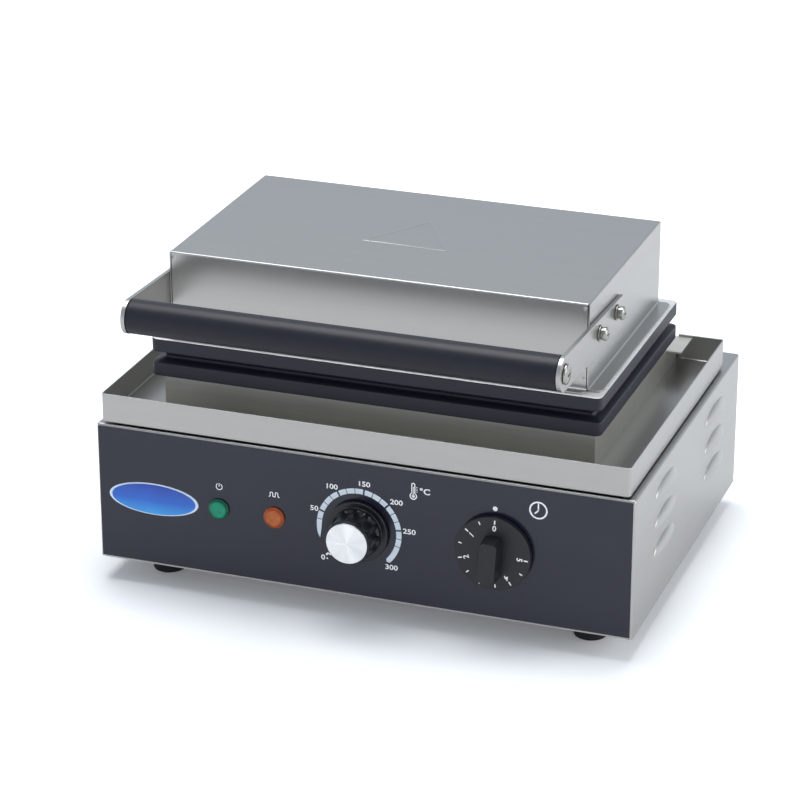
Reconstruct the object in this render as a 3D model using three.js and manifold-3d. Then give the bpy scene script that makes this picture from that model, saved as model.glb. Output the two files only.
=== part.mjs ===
// Triple waffle maker: three waffle places under one hinged lid, with a thermostat and a timer.
// Millimetres, +Z up, X to the right and +Y to the rear as the cook stands in front of the machine.
// The origin lies on the table, under the middle of the machine's outline.
import * as THREE from 'three';
import { mergeVertices } from 'three/addons/utils/BufferGeometryUtils.js';
import Module from 'manifold-3d';

const wasm = await Module();
wasm.setup();

// Clearance between pieces that touch, and how far a cutter runs past the face that it cuts
const seatGap = 0.3;
const overrun = 1;

// Number of sides of round forms, by how large they are, and steps in a bend or a dome
const fineSides = 32;
const roundSides = 16;
const smallSides = 12;
const tinySides = 8;
const hexSides = 6;
const bendSteps = 3;
const domeSteps = 2;

// Housing of the base: one folded sheet with pressed louvres on both sides
const bodyWidth = 410;
const bodyDepth = 292;
const bodyHeight = 107.5;
const housingSheet = 1;
const frontBendRadius = 1.6;
const rearBendRadius = 4;
const tabWidth = 18;
const tabReach = 14;
const tabSpacing = 250;

// Louvres: heights are above the housing's lower edge
const louvreLength = 56;
const louvreRise = 9.5;
const louvreDepth = 3.6;
const louvrePitch = 22.5;
const louvreLowest = 40;
const louvreColumnSpacing = 139;
const louvreColumnShift = 5;
const louvreRows = 3;
const louvreSides = 8;
const louvreBands = 6;

// Base plate under the housing, with vent slots
const basePlateSheet = 1.2;
const ventLength = 60;
const ventWidth = 4;
const ventPitch = 12;
const ventRows = 5;
const ventSpacing = 150;

// Rubber feet
const footHeight = 18;
const footRadius = 13;
const footTaper = 0.8;
const footInsetX = 40;
const footInsetY = 34.5;
const footRecessRadius = 6;
const footRecessDepth = 12;

// Front panel film
const filmThickness = 0.5;
const filmInset = 1.6;
const filmCornerRadius = 2;

// Controls on the front: their height is above the housing's lower edge
const controlHeight = 53.5;
const thermostatX = 0;
const timerX = 103;
const powerLampX = -108.5;
const heatLampX = -65;
const knobLift = 1;
const shaftRadius = 3;
const shaftInKnob = 12;
const shaftInBody = 8;
const switchCornerRadius = 3;

// Thermostat knob
const skirtRadius = 23.5;
const skirtThickness = 3;
const skirtChamfer = 0.8;
const gripFootRadius = 19;
const gripTipRadius = 17;
const gripHeight = 20;
const fluteCount = 12;
const fluteRadius = 3.6;
const fluteDepth = 1.5;
const fluteStart = 2.5;
const capRadius = 15.6;
const capThickness = 1.2;
const capRecess = 0.6;

// Thermostat behind the front, with its bulb and capillary
const thermostatWidth = 42;
const thermostatTall = 48;
const thermostatDeep = 24;
const bulbRadius = 3;
const bulbRearRoom = 53;
const capillaryRadius = 1;
const capillaryHoleRadius = 4;
const capillaryBend = 12;
const capillaryRun = 16;
const capillaryHeaterRoom = 1.8;

// Timer knob
const dialRadius = 28.3;
const dialThickness = 4.5;
const dialChamfer = 0.7;
const barLength = 30;
const barWidth = 14;
const barTaper = 1;
const barHeight = 13;
const barDrop = 4;
const barCornerRadius = 3;

// Timer behind the front
const timerWidth = 52;
const timerTall = 52;
const timerDeep = 34;
const timerCoverRadius = 21;
const timerCoverDeep = 6;

// Pilot lamps
const lampRadius = 8.2;
const lampFlange = 1.6;
const lampDome = 2.2;
const lampNeckRadius = 6;
const lampNeckLength = 9;
const lampCollarRadius = 9;
const lampCollarThickness = 3;
const lampBodyRadius = 7.6;
const lampBodyLength = 26;
const lampTerminalLength = 8;
const lampTerminalWidth = 4.8;
const lampTerminalThickness = 0.8;
const lampTerminalSpacing = 6;

// Terminal block and cable gland at the back
const terminalInset = 45;
const terminalWidth = 46;
const terminalDepth = 18;
const terminalHeight = 9;
const terminalTowerHeight = 7;
const terminalTowerRadius = 4;
const terminalPoles = 3;
const glandSideInset = 85;
const glandHeight = 26;
const glandShankRadius = 7.5;
const glandShankLength = 12;
const glandFlangeRadius = 11;
const glandFlangeThickness = 5;
const glandNoseRadius = 9;
const glandNoseLength = 9;
const glandBoreRadius = 4.2;
const glandLipThickness = 1;
const glandNutThickness = 4;

// Drip tray on top of the housing, which stands on pressed seats
const traySheet = 1;
const trayLift = 3;
const trayHeight = 20.7;
const traySideInset = 4.4;
const trayFrontInset = 0.6;
const trayRearInset = 34;
const trayRearRoom = 29;
const trayCornerRadius = 2.5;
const trayBottomRadius = 3;
const traySeatSideInset = 8.5;
const traySeatEndInset = 24;
const traySeatRadius = 8;
const traySeatDraft = 2;
const ductHoleRadius = 9;
const wireHoleRadius = 5;
const ductHoleX = 60;

// Cooking plates: two castings that meet at a V-shaped groove
const plateSideRoom = 34;
const plateFrontRoom = 25;
const plateRise = 29;
const plateSideHeight = 10;
const grooveHeight = 4.4;
const grooveInset = 5;
const plateCornerRadius = 5;
const cavityCount = 3;
const cavityEdge = 16;
const cavityWeb = 10;
const cavityDepth = 8.5;
const cavityDraft = 1.5;
const cavityCornerRadius = 4;
const studColumns = 4;
const studRows = 7;
const studGroove = 5.5;
const studDraft = 1.3;
const studShortfall = 2.4;

// Pedestal box under the lower plate, with the low duct box behind it
const pedestalSheet = 1.2;
const pedestalSideInset = 6.5;
const pedestalFrontInset = 10;
const pedestalRearInset = 5;
const pedestalFlange = 14;
const ductFlange = 6;
const plateSeatSpacing = 78;

// Shelf that carries the hinges, and the notch that the tray leaves for it
const shelfSheet = 1.2;
const shelfDrop = 1.6;
const shelfOverhang = 11.5;
const notchSpare = 1.2;
const notchDrop = 1.4;

// Heating elements on the backs of the plates
const heaterRadius = 4;
const heaterClearance = 2;
const heaterTailLength = 12;
const heaterTailRadius = 1.8;
const heaterLegsPerCavity = 2;
const heaterBendSteps = 5;
const clampWidth = 14;
const clampThickness = 2.5;
const clampEndRoom = 57;
const clampOverhang = 8;

// Lid cover and the insulation in it
const coverSheet = 1;
const coverHeight = 65.2;
const coverSideInset = 12.7;
const coverEndInset = 10.3;
const coverSideFlange = 9.6;
const coverEndFlange = 7.4;
const coverFlangeRadius = 4.5;
const coverBend = 1.2;
const coverCornerRadius = 1.5;
const insulationThickness = 12;
const insulationMargin = 10;

// Hinges
const hingeSetback = 15;
const hingeSideInset = 61;
const hingePinRadius = 4;
const hingePinHead = 2;
const hingePinHeadRadius = 5.5;
const earThickness = 3;
const earRadius = 9;
const leafWidth = 24;
const leafThickness = 4;
const leafBoltSpacing = 12;
const leafKnuckleRadius = 8;
const bracketFootThickness = 3;
const bracketFootDepth = 28;
const bracketWingWidth = 12;

// Handle and its arms
const armThickness = 3;
const armWidth = 25.6;
const armLength = 140;
const armRiseDegrees = 2.4;
const armBoltReach = 82;
const armBoltPitch = 42.5;
const armBoltDrop = 0.8;
const handleReach = 67.3;
const handleHeight = 39.3;
const gripRadius = 12.5;
const gripBoreRadius = 5;
const handleRodRadius = 4.5;

// Fasteners
const boltRadius = 2.5;
const boltHeadRadius = 4.9;
const boltHeadHeight = 3.6;
const boltHoleRadius = 2.9;
const boltBlindDepth = 4;
const washerRadius = 5.8;
const washerThickness = 1;
const springWasherRadius = 4.5;
const springWasherThickness = 1.4;
const nutRadius = 4.6;
const nutHeight = 4;
const endScrewRadius = 7.3;
const endScrewRim = 1;
const endScrewDome = 1.8;
const endScrewEngagement = 12;

// Heights of the stack, from the table upwards
const bodyBottom = footHeight;
const bodyTop = bodyBottom + bodyHeight;
const trayBottom = bodyTop + trayLift;
const trayFloor = trayBottom + traySheet;
const trayRim = trayBottom + trayHeight;
const pedestalBottom = trayFloor + seatGap;
const plateBottom = trayFloor + plateRise;
const pedestalTop = plateBottom - seatGap;
const plateThickness = plateSideHeight + grooveHeight;
const parting = plateBottom + plateThickness + seatGap / 2;
const lidBack = parting + seatGap / 2 + plateThickness;
const coverBottom = lidBack + seatGap;
const coverTop = coverBottom + coverHeight;
const shelfTop = trayRim - shelfDrop;
const shelfBottom = shelfTop - shelfSheet;
const ductTop = shelfBottom - seatGap;
const controlZ = bodyBottom + controlHeight;

// Places in plan that several pieces share
const frontFace = -bodyDepth / 2;
const rearFace = bodyDepth / 2;
const filmFace = frontFace - seatGap - filmThickness;
const glandX = bodyWidth / 2 - glandSideInset;
const trayRear = rearFace - trayRearInset;
const plateWidth = bodyWidth - 2 * plateSideRoom;
const plateFront = frontFace + plateFrontRoom;
const plateRear = trayRear - trayRearRoom;
const plateDepth = plateRear - plateFront;
const plateCentreY = (plateFront + plateRear) / 2;
const pedestalHalfWidth = plateWidth / 2 - pedestalSideInset;
const pedestalFront = plateFront + pedestalFrontInset;
const pedestalRear = plateRear - pedestalRearInset;
const trayFront = frontFace + trayFrontInset;
const trayHalfWidth = bodyWidth / 2 - traySideInset;
const traySeatX = pedestalHalfWidth - traySeatSideInset;
const traySeatSpacing = plateDepth - 2 * traySeatEndInset;
const ductRear = trayRear - trayBottomRadius - seatGap;
const shelfRear = trayRear - traySheet - seatGap;
const ductCentreY = (pedestalRear + ductRear) / 2;
const hingeX = plateWidth / 2 - hingeSideInset;
const hingeY = plateRear + hingeSetback;
const clampSpacing = plateDepth - 2 * clampEndRoom;
const coverWidth = plateWidth - 2 * coverSideInset;
const coverDepth = plateDepth - 2 * coverEndInset;
const coverFront = plateCentreY - coverDepth / 2;
const coverRear = plateCentreY + coverDepth / 2;
const cavityWidth = (plateWidth - 2 * cavityEdge - (cavityCount - 1) * cavityWeb) / cavityCount;
const cavityLength = plateDepth - 2 * cavityEdge;
const cavityPitch = cavityWidth + cavityWeb;
const flangeMargin = pedestalSheet + pedestalFlange + heaterRadius + heaterClearance;
const heaterFront = -plateDepth / 2 + pedestalFrontInset + flangeMargin;
const capillaryY = plateCentreY + heaterFront + capillaryHeaterRoom;
const bulbFront = capillaryY + capillaryBend + capillaryRun;
const bulbLength = plateRear - bulbRearRoom - bulbFront;
const handleY = coverFront - handleReach;
const handleZ = coverBottom + handleHeight;
const armInner = coverWidth / 2 + seatGap;
const armOuter = armInner + armThickness;
const armEyeRadius = armWidth / 2;
const armRise = THREE.MathUtils.degToRad(armRiseDegrees);

const quarterTurn = Math.PI / 2;

// Turns a closed geometry into a solid: shared corners are merged and flat slivers at poles are left out.
function solidOf(geometry) {
  const bare = new THREE.BufferGeometry();
  bare.setAttribute('position', geometry.attributes.position.clone());
  bare.setIndex(geometry.index);
  const merged = mergeVertices(bare);
  const corners = merged.index.array;
  const kept = [];
  for (let i = 0; i < corners.length; i += 3) {
    const [a, b, c] = [corners[i], corners[i + 1], corners[i + 2]];
    if (a !== b && b !== c && c !== a) kept.push(a, b, c);
  }
  const vertProperties = merged.attributes.position.array;
  return new wasm.Manifold(new wasm.Mesh({ numProp: 3, vertProperties, triVerts: Uint32Array.from(kept) }));
}

function geometryOf(solid) {
  const mesh = solid.getMesh();
  const geometry = new THREE.BufferGeometry();
  geometry.setAttribute('position', new THREE.BufferAttribute(mesh.vertProperties, mesh.numProp));
  geometry.setIndex(new THREE.BufferAttribute(mesh.triVerts, 1));
  geometry.computeVertexNormals();
  return geometry;
}

function joined(solids) {
  return solids.reduce((sum, solid) => sum.add(solid));
}

function cut(solid, cutters) {
  return cutters.reduce((rest, cutter) => rest.subtract(cutter), solid);
}

// A block centred on x and y that stands on z.
function block(width, depth, height, x, y, z) {
  return solidOf(new THREE.BoxGeometry(width, depth, height).translate(x, y, z + height / 2));
}

// A block between two opposite corners.
function blockBetween([x0, y0, z0], [x1, y1, z1]) {
  return block(x1 - x0, y1 - y0, z1 - z0, (x0 + x1) / 2, (y0 + y1) / 2, z0);
}

// An upright cylinder that stands on z.
function post(radius, height, x, y, z, sides = smallSides) {
  const cylinder = new THREE.CylinderGeometry(radius, radius, height, sides);
  return solidOf(cylinder.rotateX(quarterTurn).translate(x, y, z + height / 2));
}

// A cylinder along X that starts at x.
function crossPost(radius, length, x, y, z, sides = smallSides) {
  const cylinder = new THREE.CylinderGeometry(radius, radius, length, sides);
  return solidOf(cylinder.rotateZ(quarterTurn).translate(x + length / 2, y, z));
}

// A cylinder along Y that starts at y.
function deepPost(radius, length, x, y, z, sides = smallSides) {
  const cylinder = new THREE.CylinderGeometry(radius, radius, length, sides);
  return solidOf(cylinder.translate(x, y + length / 2, z));
}

// A body of revolution about Z from [radius, height] pairs that run upwards on the outside.
function turned(profile, sides = roundSides) {
  const points = profile.map(([radius, height]) => new THREE.Vector2(radius, height));
  return solidOf(new THREE.LatheGeometry(points, sides).rotateX(quarterTurn));
}

// The upper part of a turned profile: a quarter ellipse from the rim at z up to the axis.
function dome(radius, height, z) {
  return Array.from({ length: domeSteps + 1 }, (_, step) => {
    const angle = (step / domeSteps) * quarterTurn;
    return [step < domeSteps ? radius * Math.cos(angle) : 0, z + height * Math.sin(angle)];
  });
}

// A level ring of points: a rectangle with round corners, anticlockwise from above.
function ring(width, depth, radius, x, y, z, steps = bendSteps) {
  const signs = [[1, -1], [1, 1], [-1, 1], [-1, -1]];
  return signs.flatMap(([signX, signY], quarter) => Array.from({ length: steps + 1 }, (_, step) => {
    const angle = (quarter - 1 + step / steps) * quarterTurn;
    const cornerX = x + signX * (width / 2 - radius);
    const cornerY = y + signY * (depth / 2 - radius);
    return new THREE.Vector3(cornerX + radius * Math.cos(angle), cornerY + radius * Math.sin(angle), z);
  }));
}

// A level rectangle with sharp corners, anticlockwise from above.
function sharpRing(width, depth, x, y, z) {
  const signs = [[1, -1], [1, 1], [-1, 1], [-1, -1]];
  return signs.map(([signX, signY]) => new THREE.Vector3(x + signX * width / 2, y + signY * depth / 2, z));
}

// A solid skin carried through rings of equal count, closed by a flat fan at each end.
function loft(rings) {
  const count = rings[0].length;
  const top = (rings.length - 1) * count;
  const faces = [];
  for (let level = 0; level + 1 < rings.length; level += 1) {
    for (let i = 0; i < count; i += 1) {
      const a = level * count + i;
      const b = level * count + ((i + 1) % count);
      faces.push(a, b, b + count, a, b + count, a + count);
    }
  }
  for (let i = 1; i + 1 < count; i += 1) {
    faces.push(0, i + 1, i);
    faces.push(top, top + i, top + i + 1);
  }
  const geometry = new THREE.BufferGeometry().setFromPoints(rings.flat());
  geometry.setIndex(faces);
  return solidOf(geometry);
}

// An upright prism with round vertical corners.
function roundedBlock(width, depth, height, radius, x, y, z) {
  return loft([ring(width, depth, radius, x, y, z), ring(width, depth, radius, x, y, z + height)]);
}

// A side view, drawn with Y to the right and Z up, carried along X from x.
function sideways(shape, length, x) {
  const options = { depth: length, bevelEnabled: false, curveSegments: tinySides };
  const geometry = new THREE.ExtrudeGeometry(shape, options);
  return solidOf(geometry.rotateX(quarterTurn).rotateZ(quarterTurn).translate(x, 0, 0));
}

// A round tube along a path that lies in one plane, given by its normal, with a radius at each point.
function flatTube(path, radii, normal) {
  return loft(path.map((point, i) => {
    const before = path[Math.max(i - 1, 0)];
    const after = path[Math.min(i + 1, path.length - 1)];
    const along = after.clone().sub(before).normalize();
    const across = new THREE.Vector3().crossVectors(along, normal);
    return Array.from({ length: hexSides }, (_, side) => {
      const angle = (side / hexSides) * 2 * Math.PI;
      return point.clone()
        .addScaledVector(normal, radii[i] * Math.cos(angle))
        .addScaledVector(across, radii[i] * Math.sin(angle));
    });
  }));
}

// Materials
const finish = (color, roughness, metalness) => () => (
  new THREE.MeshStandardMaterial({ color, roughness, metalness })
);
const stainless = finish(0xc4c7c8, 0.32, 1);
const steel = finish(0xb4b6b8, 0.35, 1);
const blackCasting = finish(0x2b2d33, 0.6, 0.2);
const blackFilm = finish(0x33353d, 0.35, 0);
const bakelite = finish(0x26272e, 0.3, 0);
const blackPlastic = finish(0x2a2b2f, 0.4, 0);
const rubber = finish(0x1b1b1c, 0.85, 0);
const spunAluminium = finish(0xe6e8ea, 0.25, 1);
const greenLens = finish(0x14684a, 0.15, 0);
const orangeLens = finish(0xd6622c, 0.15, 0);
const ceramic = finish(0xe4dfd2, 0.7, 0);
const copper = finish(0xb8734a, 0.35, 1);
const heaterSheath = finish(0x6f6a66, 0.5, 1);
const mineralBoard = finish(0xcfc8b6, 0.9, 0);

// The machine, and the group of pieces that swings with its lid
const machine = new THREE.Group();
const glandReach = glandFlangeThickness + glandNoseLength;
machine.position.y = (armEyeRadius - handleY - rearFace - glandReach) / 2;

function place(parent, x, y, z) {
  const group = new THREE.Group();
  group.position.set(x, y, z);
  parent.add(group);
  return group;
}
const base = place(machine, 0, 0, 0);
const lid = place(machine, 0, 0, 0);

// A place on the front whose local Z points out towards the cook.
function placeOnFront(x, z, y) {
  const group = place(base, x, y, z);
  group.rotation.x = quarterTurn;
  return group;
}

// A place on the lid's left (-1) or right (1) side whose local Z points outwards.
function placeOnSide(side, x, y, z) {
  const group = place(lid, side * x, y, z);
  group.rotation.y = side * quarterTurn;
  return group;
}

function add(group, name, solid, material) {
  const mesh = new THREE.Mesh(geometryOf(solid), material());
  mesh.name = name;
  group.add(mesh);
}

// Housing
const tabs = [-1, 1].flatMap((end) => [-1, 1].map((side) => (
  [side * tabSpacing / 2, end * (bodyDepth - tabReach) / 2]
)));
const tabBottom = bodyBottom + basePlateSheet + seatGap;
const traySeats = [-1, 1].flatMap((side) => [-1, 1].map((row) => (
  [side * traySeatX, plateCentreY + row * traySeatSpacing / 2]
)));

// Side view of the housing with its bent edges, drawn in by an inset.
function housingProfile(inset, bottom) {
  const [front, rear, top] = [frontFace + inset, rearFace - inset, bodyTop - inset];
  const frontBend = Math.max(frontBendRadius, housingSheet) - inset / 2;
  const rearBend = Math.max(rearBendRadius, housingSheet) - inset / 2;
  const shape = new THREE.Shape();
  shape.moveTo(front, bottom);
  shape.lineTo(rear, bottom);
  shape.lineTo(rear, top - rearBend);
  shape.absarc(rear - rearBend, top - rearBend, rearBend, 0, quarterTurn);
  shape.absarc(front + frontBend, top - frontBend, frontBend, quarterTurn, 2 * quarterTurn);
  shape.closePath();
  return shape;
}

// Half of an ellipsoid in the side wall, flat underneath, drawn in by an inset.
function louvreForm(inset, x, y, z) {
  const ball = new THREE.SphereGeometry(1, louvreSides, louvreBands);
  ball.scale(louvreDepth - inset, louvreLength / 2 - inset, louvreRise - inset).translate(x, y, z);
  return solidOf(ball).intersect(block(2 * louvreDepth, louvreLength, louvreRise + inset, x, y, z - inset));
}

function louvrePlaces(side) {
  return [-1, 1].flatMap((column) => Array.from({ length: louvreRows }, (_, row) => ([
    side * bodyWidth / 2,
    louvreColumnShift + column * louvreColumnSpacing / 2,
    bodyBottom + louvreLowest + row * louvrePitch,
  ])));
}

function housing() {
  const innerWidth = bodyWidth - 2 * housingSheet;
  const outer = sideways(housingProfile(0, bodyBottom), bodyWidth, -bodyWidth / 2);
  const room = sideways(housingProfile(housingSheet, bodyBottom - overrun), innerWidth, -innerWidth / 2);
  const places = [...louvrePlaces(-1), ...louvrePlaces(1)];
  const hoods = places.map(([x, y, z]) => louvreForm(0, x, y, z));
  const slits = places.map(([x, y, z]) => louvreForm(housingSheet, x, y, z));
  const turnedIn = tabs.map(([x, y]) => block(tabWidth, tabReach, housingSheet, x, y, tabBottom));
  const through = 3 * housingSheet;
  const down = (radius, [x, y], z, sides) => post(radius, through, x, y, z - 2 * housingSheet, sides);
  const bores = [
    ...[thermostatX, timerX].map((x) => (
      deepPost(shaftRadius + overrun, through, x, frontFace - housingSheet, controlZ)
    )),
    ...[powerLampX, heatLampX].map((x) => (
      deepPost(lampNeckRadius + seatGap, through, x, frontFace - housingSheet, controlZ)
    )),
    deepPost(glandShankRadius + seatGap, through, glandX, rearFace - 2 * housingSheet,
      bodyBottom + glandHeight),
    ...traySeats.map((seat) => down(boltHoleRadius, seat, bodyTop, tinySides)),
    ...tabs.map((tab) => down(boltHoleRadius, tab, tabBottom + housingSheet, tinySides)),
    down(ductHoleRadius, [ductHoleX, ductCentreY], bodyTop),
    down(capillaryHoleRadius, [thermostatX, capillaryY], bodyTop),
  ];
  return cut(joined([outer, ...hoods]), [room, ...slits]).add(joined(turnedIn)).subtract(joined(bores));
}
add(base, 'housing', housing(), stainless);

// Base plate with vent slots and welded nuts, and the rubber feet
const footPlaces = [-1, 1].flatMap((end) => [-1, 1].map((side) => (
  [side * (bodyWidth / 2 - footInsetX), end * (bodyDepth / 2 - footInsetY)]
)));

function basePlate() {
  const margin = 2 * (housingSheet + seatGap);
  const plate = block(bodyWidth - margin, bodyDepth - margin, basePlateSheet, 0, 0, bodyBottom);
  const nuts = footPlaces.map(([x, y]) => (
    post(nutRadius, basePlateSheet + nutHeight, x, y, bodyBottom, hexSides)
  ));
  const vents = [-1, 1].flatMap((side) => Array.from({ length: ventRows }, (_, row) => (
    block(ventLength, ventWidth, basePlateSheet + 2 * overrun, side * ventSpacing / 2,
      (row - (ventRows - 1) / 2) * ventPitch, bodyBottom - overrun)
  )));
  const holes = [...footPlaces, ...tabs].map(([x, y]) => (
    post(boltHoleRadius, basePlateSheet + nutHeight + 2 * overrun, x, y, bodyBottom - overrun, tinySides)
  ));
  return cut(joined([plate, ...nuts]), [...vents, ...holes]);
}
add(base, 'base_plate', basePlate(), stainless);

function foot() {
  const height = footHeight - seatGap;
  return turned([
    [boltHoleRadius, footRecessDepth],
    [footRecessRadius, footRecessDepth],
    [footRecessRadius, 0],
    [footRadius - footTaper, 0],
    [footRadius, height - footTaper],
    [footRadius, height],
    [boltHoleRadius, height],
    [boltHoleRadius, footRecessDepth],
  ], smallSides);
}
const footNames = ['foot_front_left', 'foot_front_right', 'foot_rear_left', 'foot_rear_right'];
footPlaces.forEach(([x, y], i) => add(place(base, x, y, 0), footNames[i], foot(), rubber));

// Front panel film
function frontFilm() {
  const [width, height] = [bodyWidth - 2 * filmInset, bodyHeight - 2 * filmInset];
  const centre = controlHeight - bodyHeight / 2;
  const hole = (radius, x) => post(radius, filmThickness + 2 * overrun, x, centre, -overrun);
  return cut(roundedBlock(width, height, filmThickness, filmCornerRadius, 0, 0, 0), [
    ...[thermostatX, timerX].map((x) => hole(shaftRadius + overrun, x)),
    ...[powerLampX, heatLampX].map((x) => hole(lampNeckRadius + seatGap, x)),
  ]);
}
const filmPlace = placeOnFront(0, bodyBottom + bodyHeight / 2, frontFace - seatGap);
add(filmPlace, 'front_panel_film', frontFilm(), blackFilm);

// Thermostat and timer: each has a body behind the front, a shaft through it and a knob outside
const behindFront = -(filmThickness + seatGap + housingSheet + seatGap);
const thermostatPlace = placeOnFront(thermostatX, controlZ, filmFace);
const timerPlace = placeOnFront(timerX, controlZ, filmFace);

// A switch body behind the front with a blind hole for its shaft.
function switchBody(width, tall, deep) {
  const boreDepth = shaftInBody + seatGap;
  const bore = post(shaftRadius + seatGap, boreDepth + overrun, 0, 0, behindFront - boreDepth);
  return roundedBlock(width, tall, deep, switchCornerRadius, 0, 0, behindFront - deep).subtract(bore);
}

function shaft() {
  const bottom = behindFront - shaftInBody;
  return post(shaftRadius, knobLift + shaftInKnob - bottom, 0, 0, bottom);
}

function shaftSocket() {
  return post(shaftRadius + seatGap, shaftInKnob + seatGap + overrun, 0, 0, knobLift - overrun);
}

function thermostatKnob() {
  const skirtTop = knobLift + skirtThickness;
  const tip = skirtTop + gripHeight;
  const body = turned([
    [0, knobLift],
    [skirtRadius, knobLift],
    [skirtRadius, skirtTop - skirtChamfer],
    [skirtRadius - skirtChamfer, skirtTop],
    [gripFootRadius, skirtTop],
    [gripTipRadius, tip],
    [capRadius + seatGap, tip],
    [capRadius + seatGap, tip - capRecess],
    [0, tip - capRecess],
  ], fineSides);
  const flutes = Array.from({ length: fluteCount }, (_, i) => {
    const angle = ((i + 1 / 2) / fluteCount) * 2 * Math.PI;
    const reach = gripFootRadius + fluteRadius - fluteDepth;
    const [x, y] = [reach * Math.cos(angle), reach * Math.sin(angle)];
    return post(fluteRadius, gripHeight, x, y, skirtTop + fluteStart);
  });
  return cut(body, [...flutes, shaftSocket()]);
}

function thermostatCap() {
  const bottom = knobLift + skirtThickness + gripHeight - capRecess + seatGap;
  return turned([
    [0, bottom],
    [capRadius, bottom],
    [capRadius, bottom + capThickness / 2],
    [capRadius - capThickness / 2, bottom + capThickness],
    [0, bottom + capThickness],
  ], fineSides);
}
const thermostatBody = switchBody(thermostatWidth, thermostatTall, thermostatDeep);
add(thermostatPlace, 'thermostat_body', thermostatBody, ceramic);
add(thermostatPlace, 'thermostat_shaft', shaft(), steel);
add(thermostatPlace, 'thermostat_knob', thermostatKnob(), blackPlastic);
add(thermostatPlace, 'thermostat_knob_cap', thermostatCap(), spunAluminium);

// The sensing bulb lies under the lower plate, and its thin tube runs down to the thermostat.
const bulbZ = plateBottom - seatGap - bulbRadius;

function capillary() {
  const thermostatRear = filmFace - behindFront + thermostatDeep + seatGap;
  const exitZ = controlZ + capillaryBend / 2;
  const route = [
    [bulbFront - seatGap, bulbZ],
    [capillaryY + capillaryBend, bulbZ],
    [capillaryY, bulbZ - capillaryBend],
    [capillaryY, exitZ + capillaryBend],
    [capillaryY - capillaryBend, exitZ],
    [thermostatRear, exitZ],
  ].map(([y, z]) => new THREE.Vector3(thermostatX, y, z));
  return flatTube(route, route.map(() => capillaryRadius), new THREE.Vector3(1, 0, 0));
}
add(base, 'thermostat_bulb', deepPost(bulbRadius, bulbLength, thermostatX, bulbFront, bulbZ), copper);
add(base, 'thermostat_capillary', capillary(), copper);

function timerBody() {
  const body = switchBody(timerWidth, timerTall, timerDeep);
  const coverRearZ = behindFront - timerDeep - timerCoverDeep;
  return body.add(post(timerCoverRadius, timerCoverDeep + overrun, 0, 0, coverRearZ, roundSides));
}

function timerKnob() {
  const dialTop = knobLift + dialThickness;
  const dial = turned([
    [0, knobLift],
    [dialRadius, knobLift],
    [dialRadius, dialTop - dialChamfer],
    [dialRadius - dialChamfer, dialTop],
    [0, dialTop],
  ], fineSides);
  const bar = loft([
    ring(barWidth, barLength, barCornerRadius, 0, -barDrop, dialTop - overrun),
    ring(barWidth - barTaper, barLength - barTaper, barCornerRadius, 0, -barDrop, dialTop + barHeight),
  ]);
  return dial.add(bar).subtract(shaftSocket());
}
add(timerPlace, 'timer_body', timerBody(), steel);
add(timerPlace, 'timer_shaft', shaft(), steel);
add(timerPlace, 'timer_knob', timerKnob(), blackPlastic);

// Pilot lamps: a lens whose neck passes through the front, and a body screwed on it from behind
function lampLens() {
  return turned([
    [0, -lampNeckLength],
    [lampNeckRadius, -lampNeckLength],
    [lampNeckRadius, seatGap],
    [lampRadius, seatGap],
    ...dome(lampRadius, lampDome, lampFlange),
  ]);
}

function lampBody() {
  const bottom = behindFront - lampBodyLength;
  const barrel = post(lampBodyRadius, lampBodyLength, 0, 0, bottom);
  const collarBottom = behindFront - lampCollarThickness;
  const collar = post(lampCollarRadius, lampCollarThickness, 0, 0, collarBottom, hexSides);
  const tongues = [-1, 1].map((side) => (
    block(lampTerminalThickness, lampTerminalWidth, lampTerminalLength + overrun,
      side * lampTerminalSpacing / 2, 0, bottom - lampTerminalLength)
  ));
  const socket = post(lampNeckRadius + seatGap, lampNeckLength, 0, 0, -lampNeckLength - seatGap);
  return joined([barrel, collar, ...tongues]).subtract(socket);
}
const lamps = [['power_lamp', powerLampX, greenLens], ['heat_lamp', heatLampX, orangeLens]];
for (const [name, x, lens] of lamps) {
  const lamp = placeOnFront(x, controlZ, filmFace);
  add(lamp, `${name}_lens`, lampLens(), lens);
  add(lamp, `${name}_body`, lampBody(), blackPlastic);
}

// Terminal block and cable gland
function terminalBlock() {
  const bottom = bodyBottom + basePlateSheet + seatGap;
  const y = rearFace - terminalInset;
  const towers = Array.from({ length: terminalPoles }, (_, pole) => {
    const x = glandX + ((pole - (terminalPoles - 1) / 2) * terminalWidth) / terminalPoles;
    return post(terminalTowerRadius, terminalHeight + terminalTowerHeight, x, y, bottom);
  });
  return joined([block(terminalWidth, terminalDepth, terminalHeight, glandX, y, bottom), ...towers]);
}
add(base, 'terminal_block', terminalBlock(), ceramic);

function cableGland() {
  return turned([
    [glandBoreRadius, -glandShankLength],
    [glandShankRadius, -glandShankLength],
    [glandShankRadius, seatGap],
    [glandFlangeRadius, seatGap],
    [glandFlangeRadius, glandFlangeThickness],
    [glandNoseRadius, glandFlangeThickness],
    [glandNoseRadius, glandReach - glandNoseLength / 3],
    [glandBoreRadius + glandLipThickness, glandReach],
    [glandBoreRadius, glandReach],
    [glandBoreRadius, -glandShankLength],
  ]);
}

function glandNut() {
  const bottom = -housingSheet - seatGap - glandNutThickness;
  const bore = post(glandShankRadius + seatGap, glandNutThickness + 2 * overrun, 0, 0, bottom - overrun);
  return post(glandFlangeRadius, glandNutThickness, 0, 0, bottom, hexSides).subtract(bore);
}
const glandPlace = place(base, glandX, rearFace, bodyBottom + glandHeight);
glandPlace.rotation.x = -quarterTurn;
add(glandPlace, 'cable_gland', cableGland(), blackPlastic);
add(glandPlace, 'cable_gland_nut', glandNut(), blackPlastic);

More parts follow.
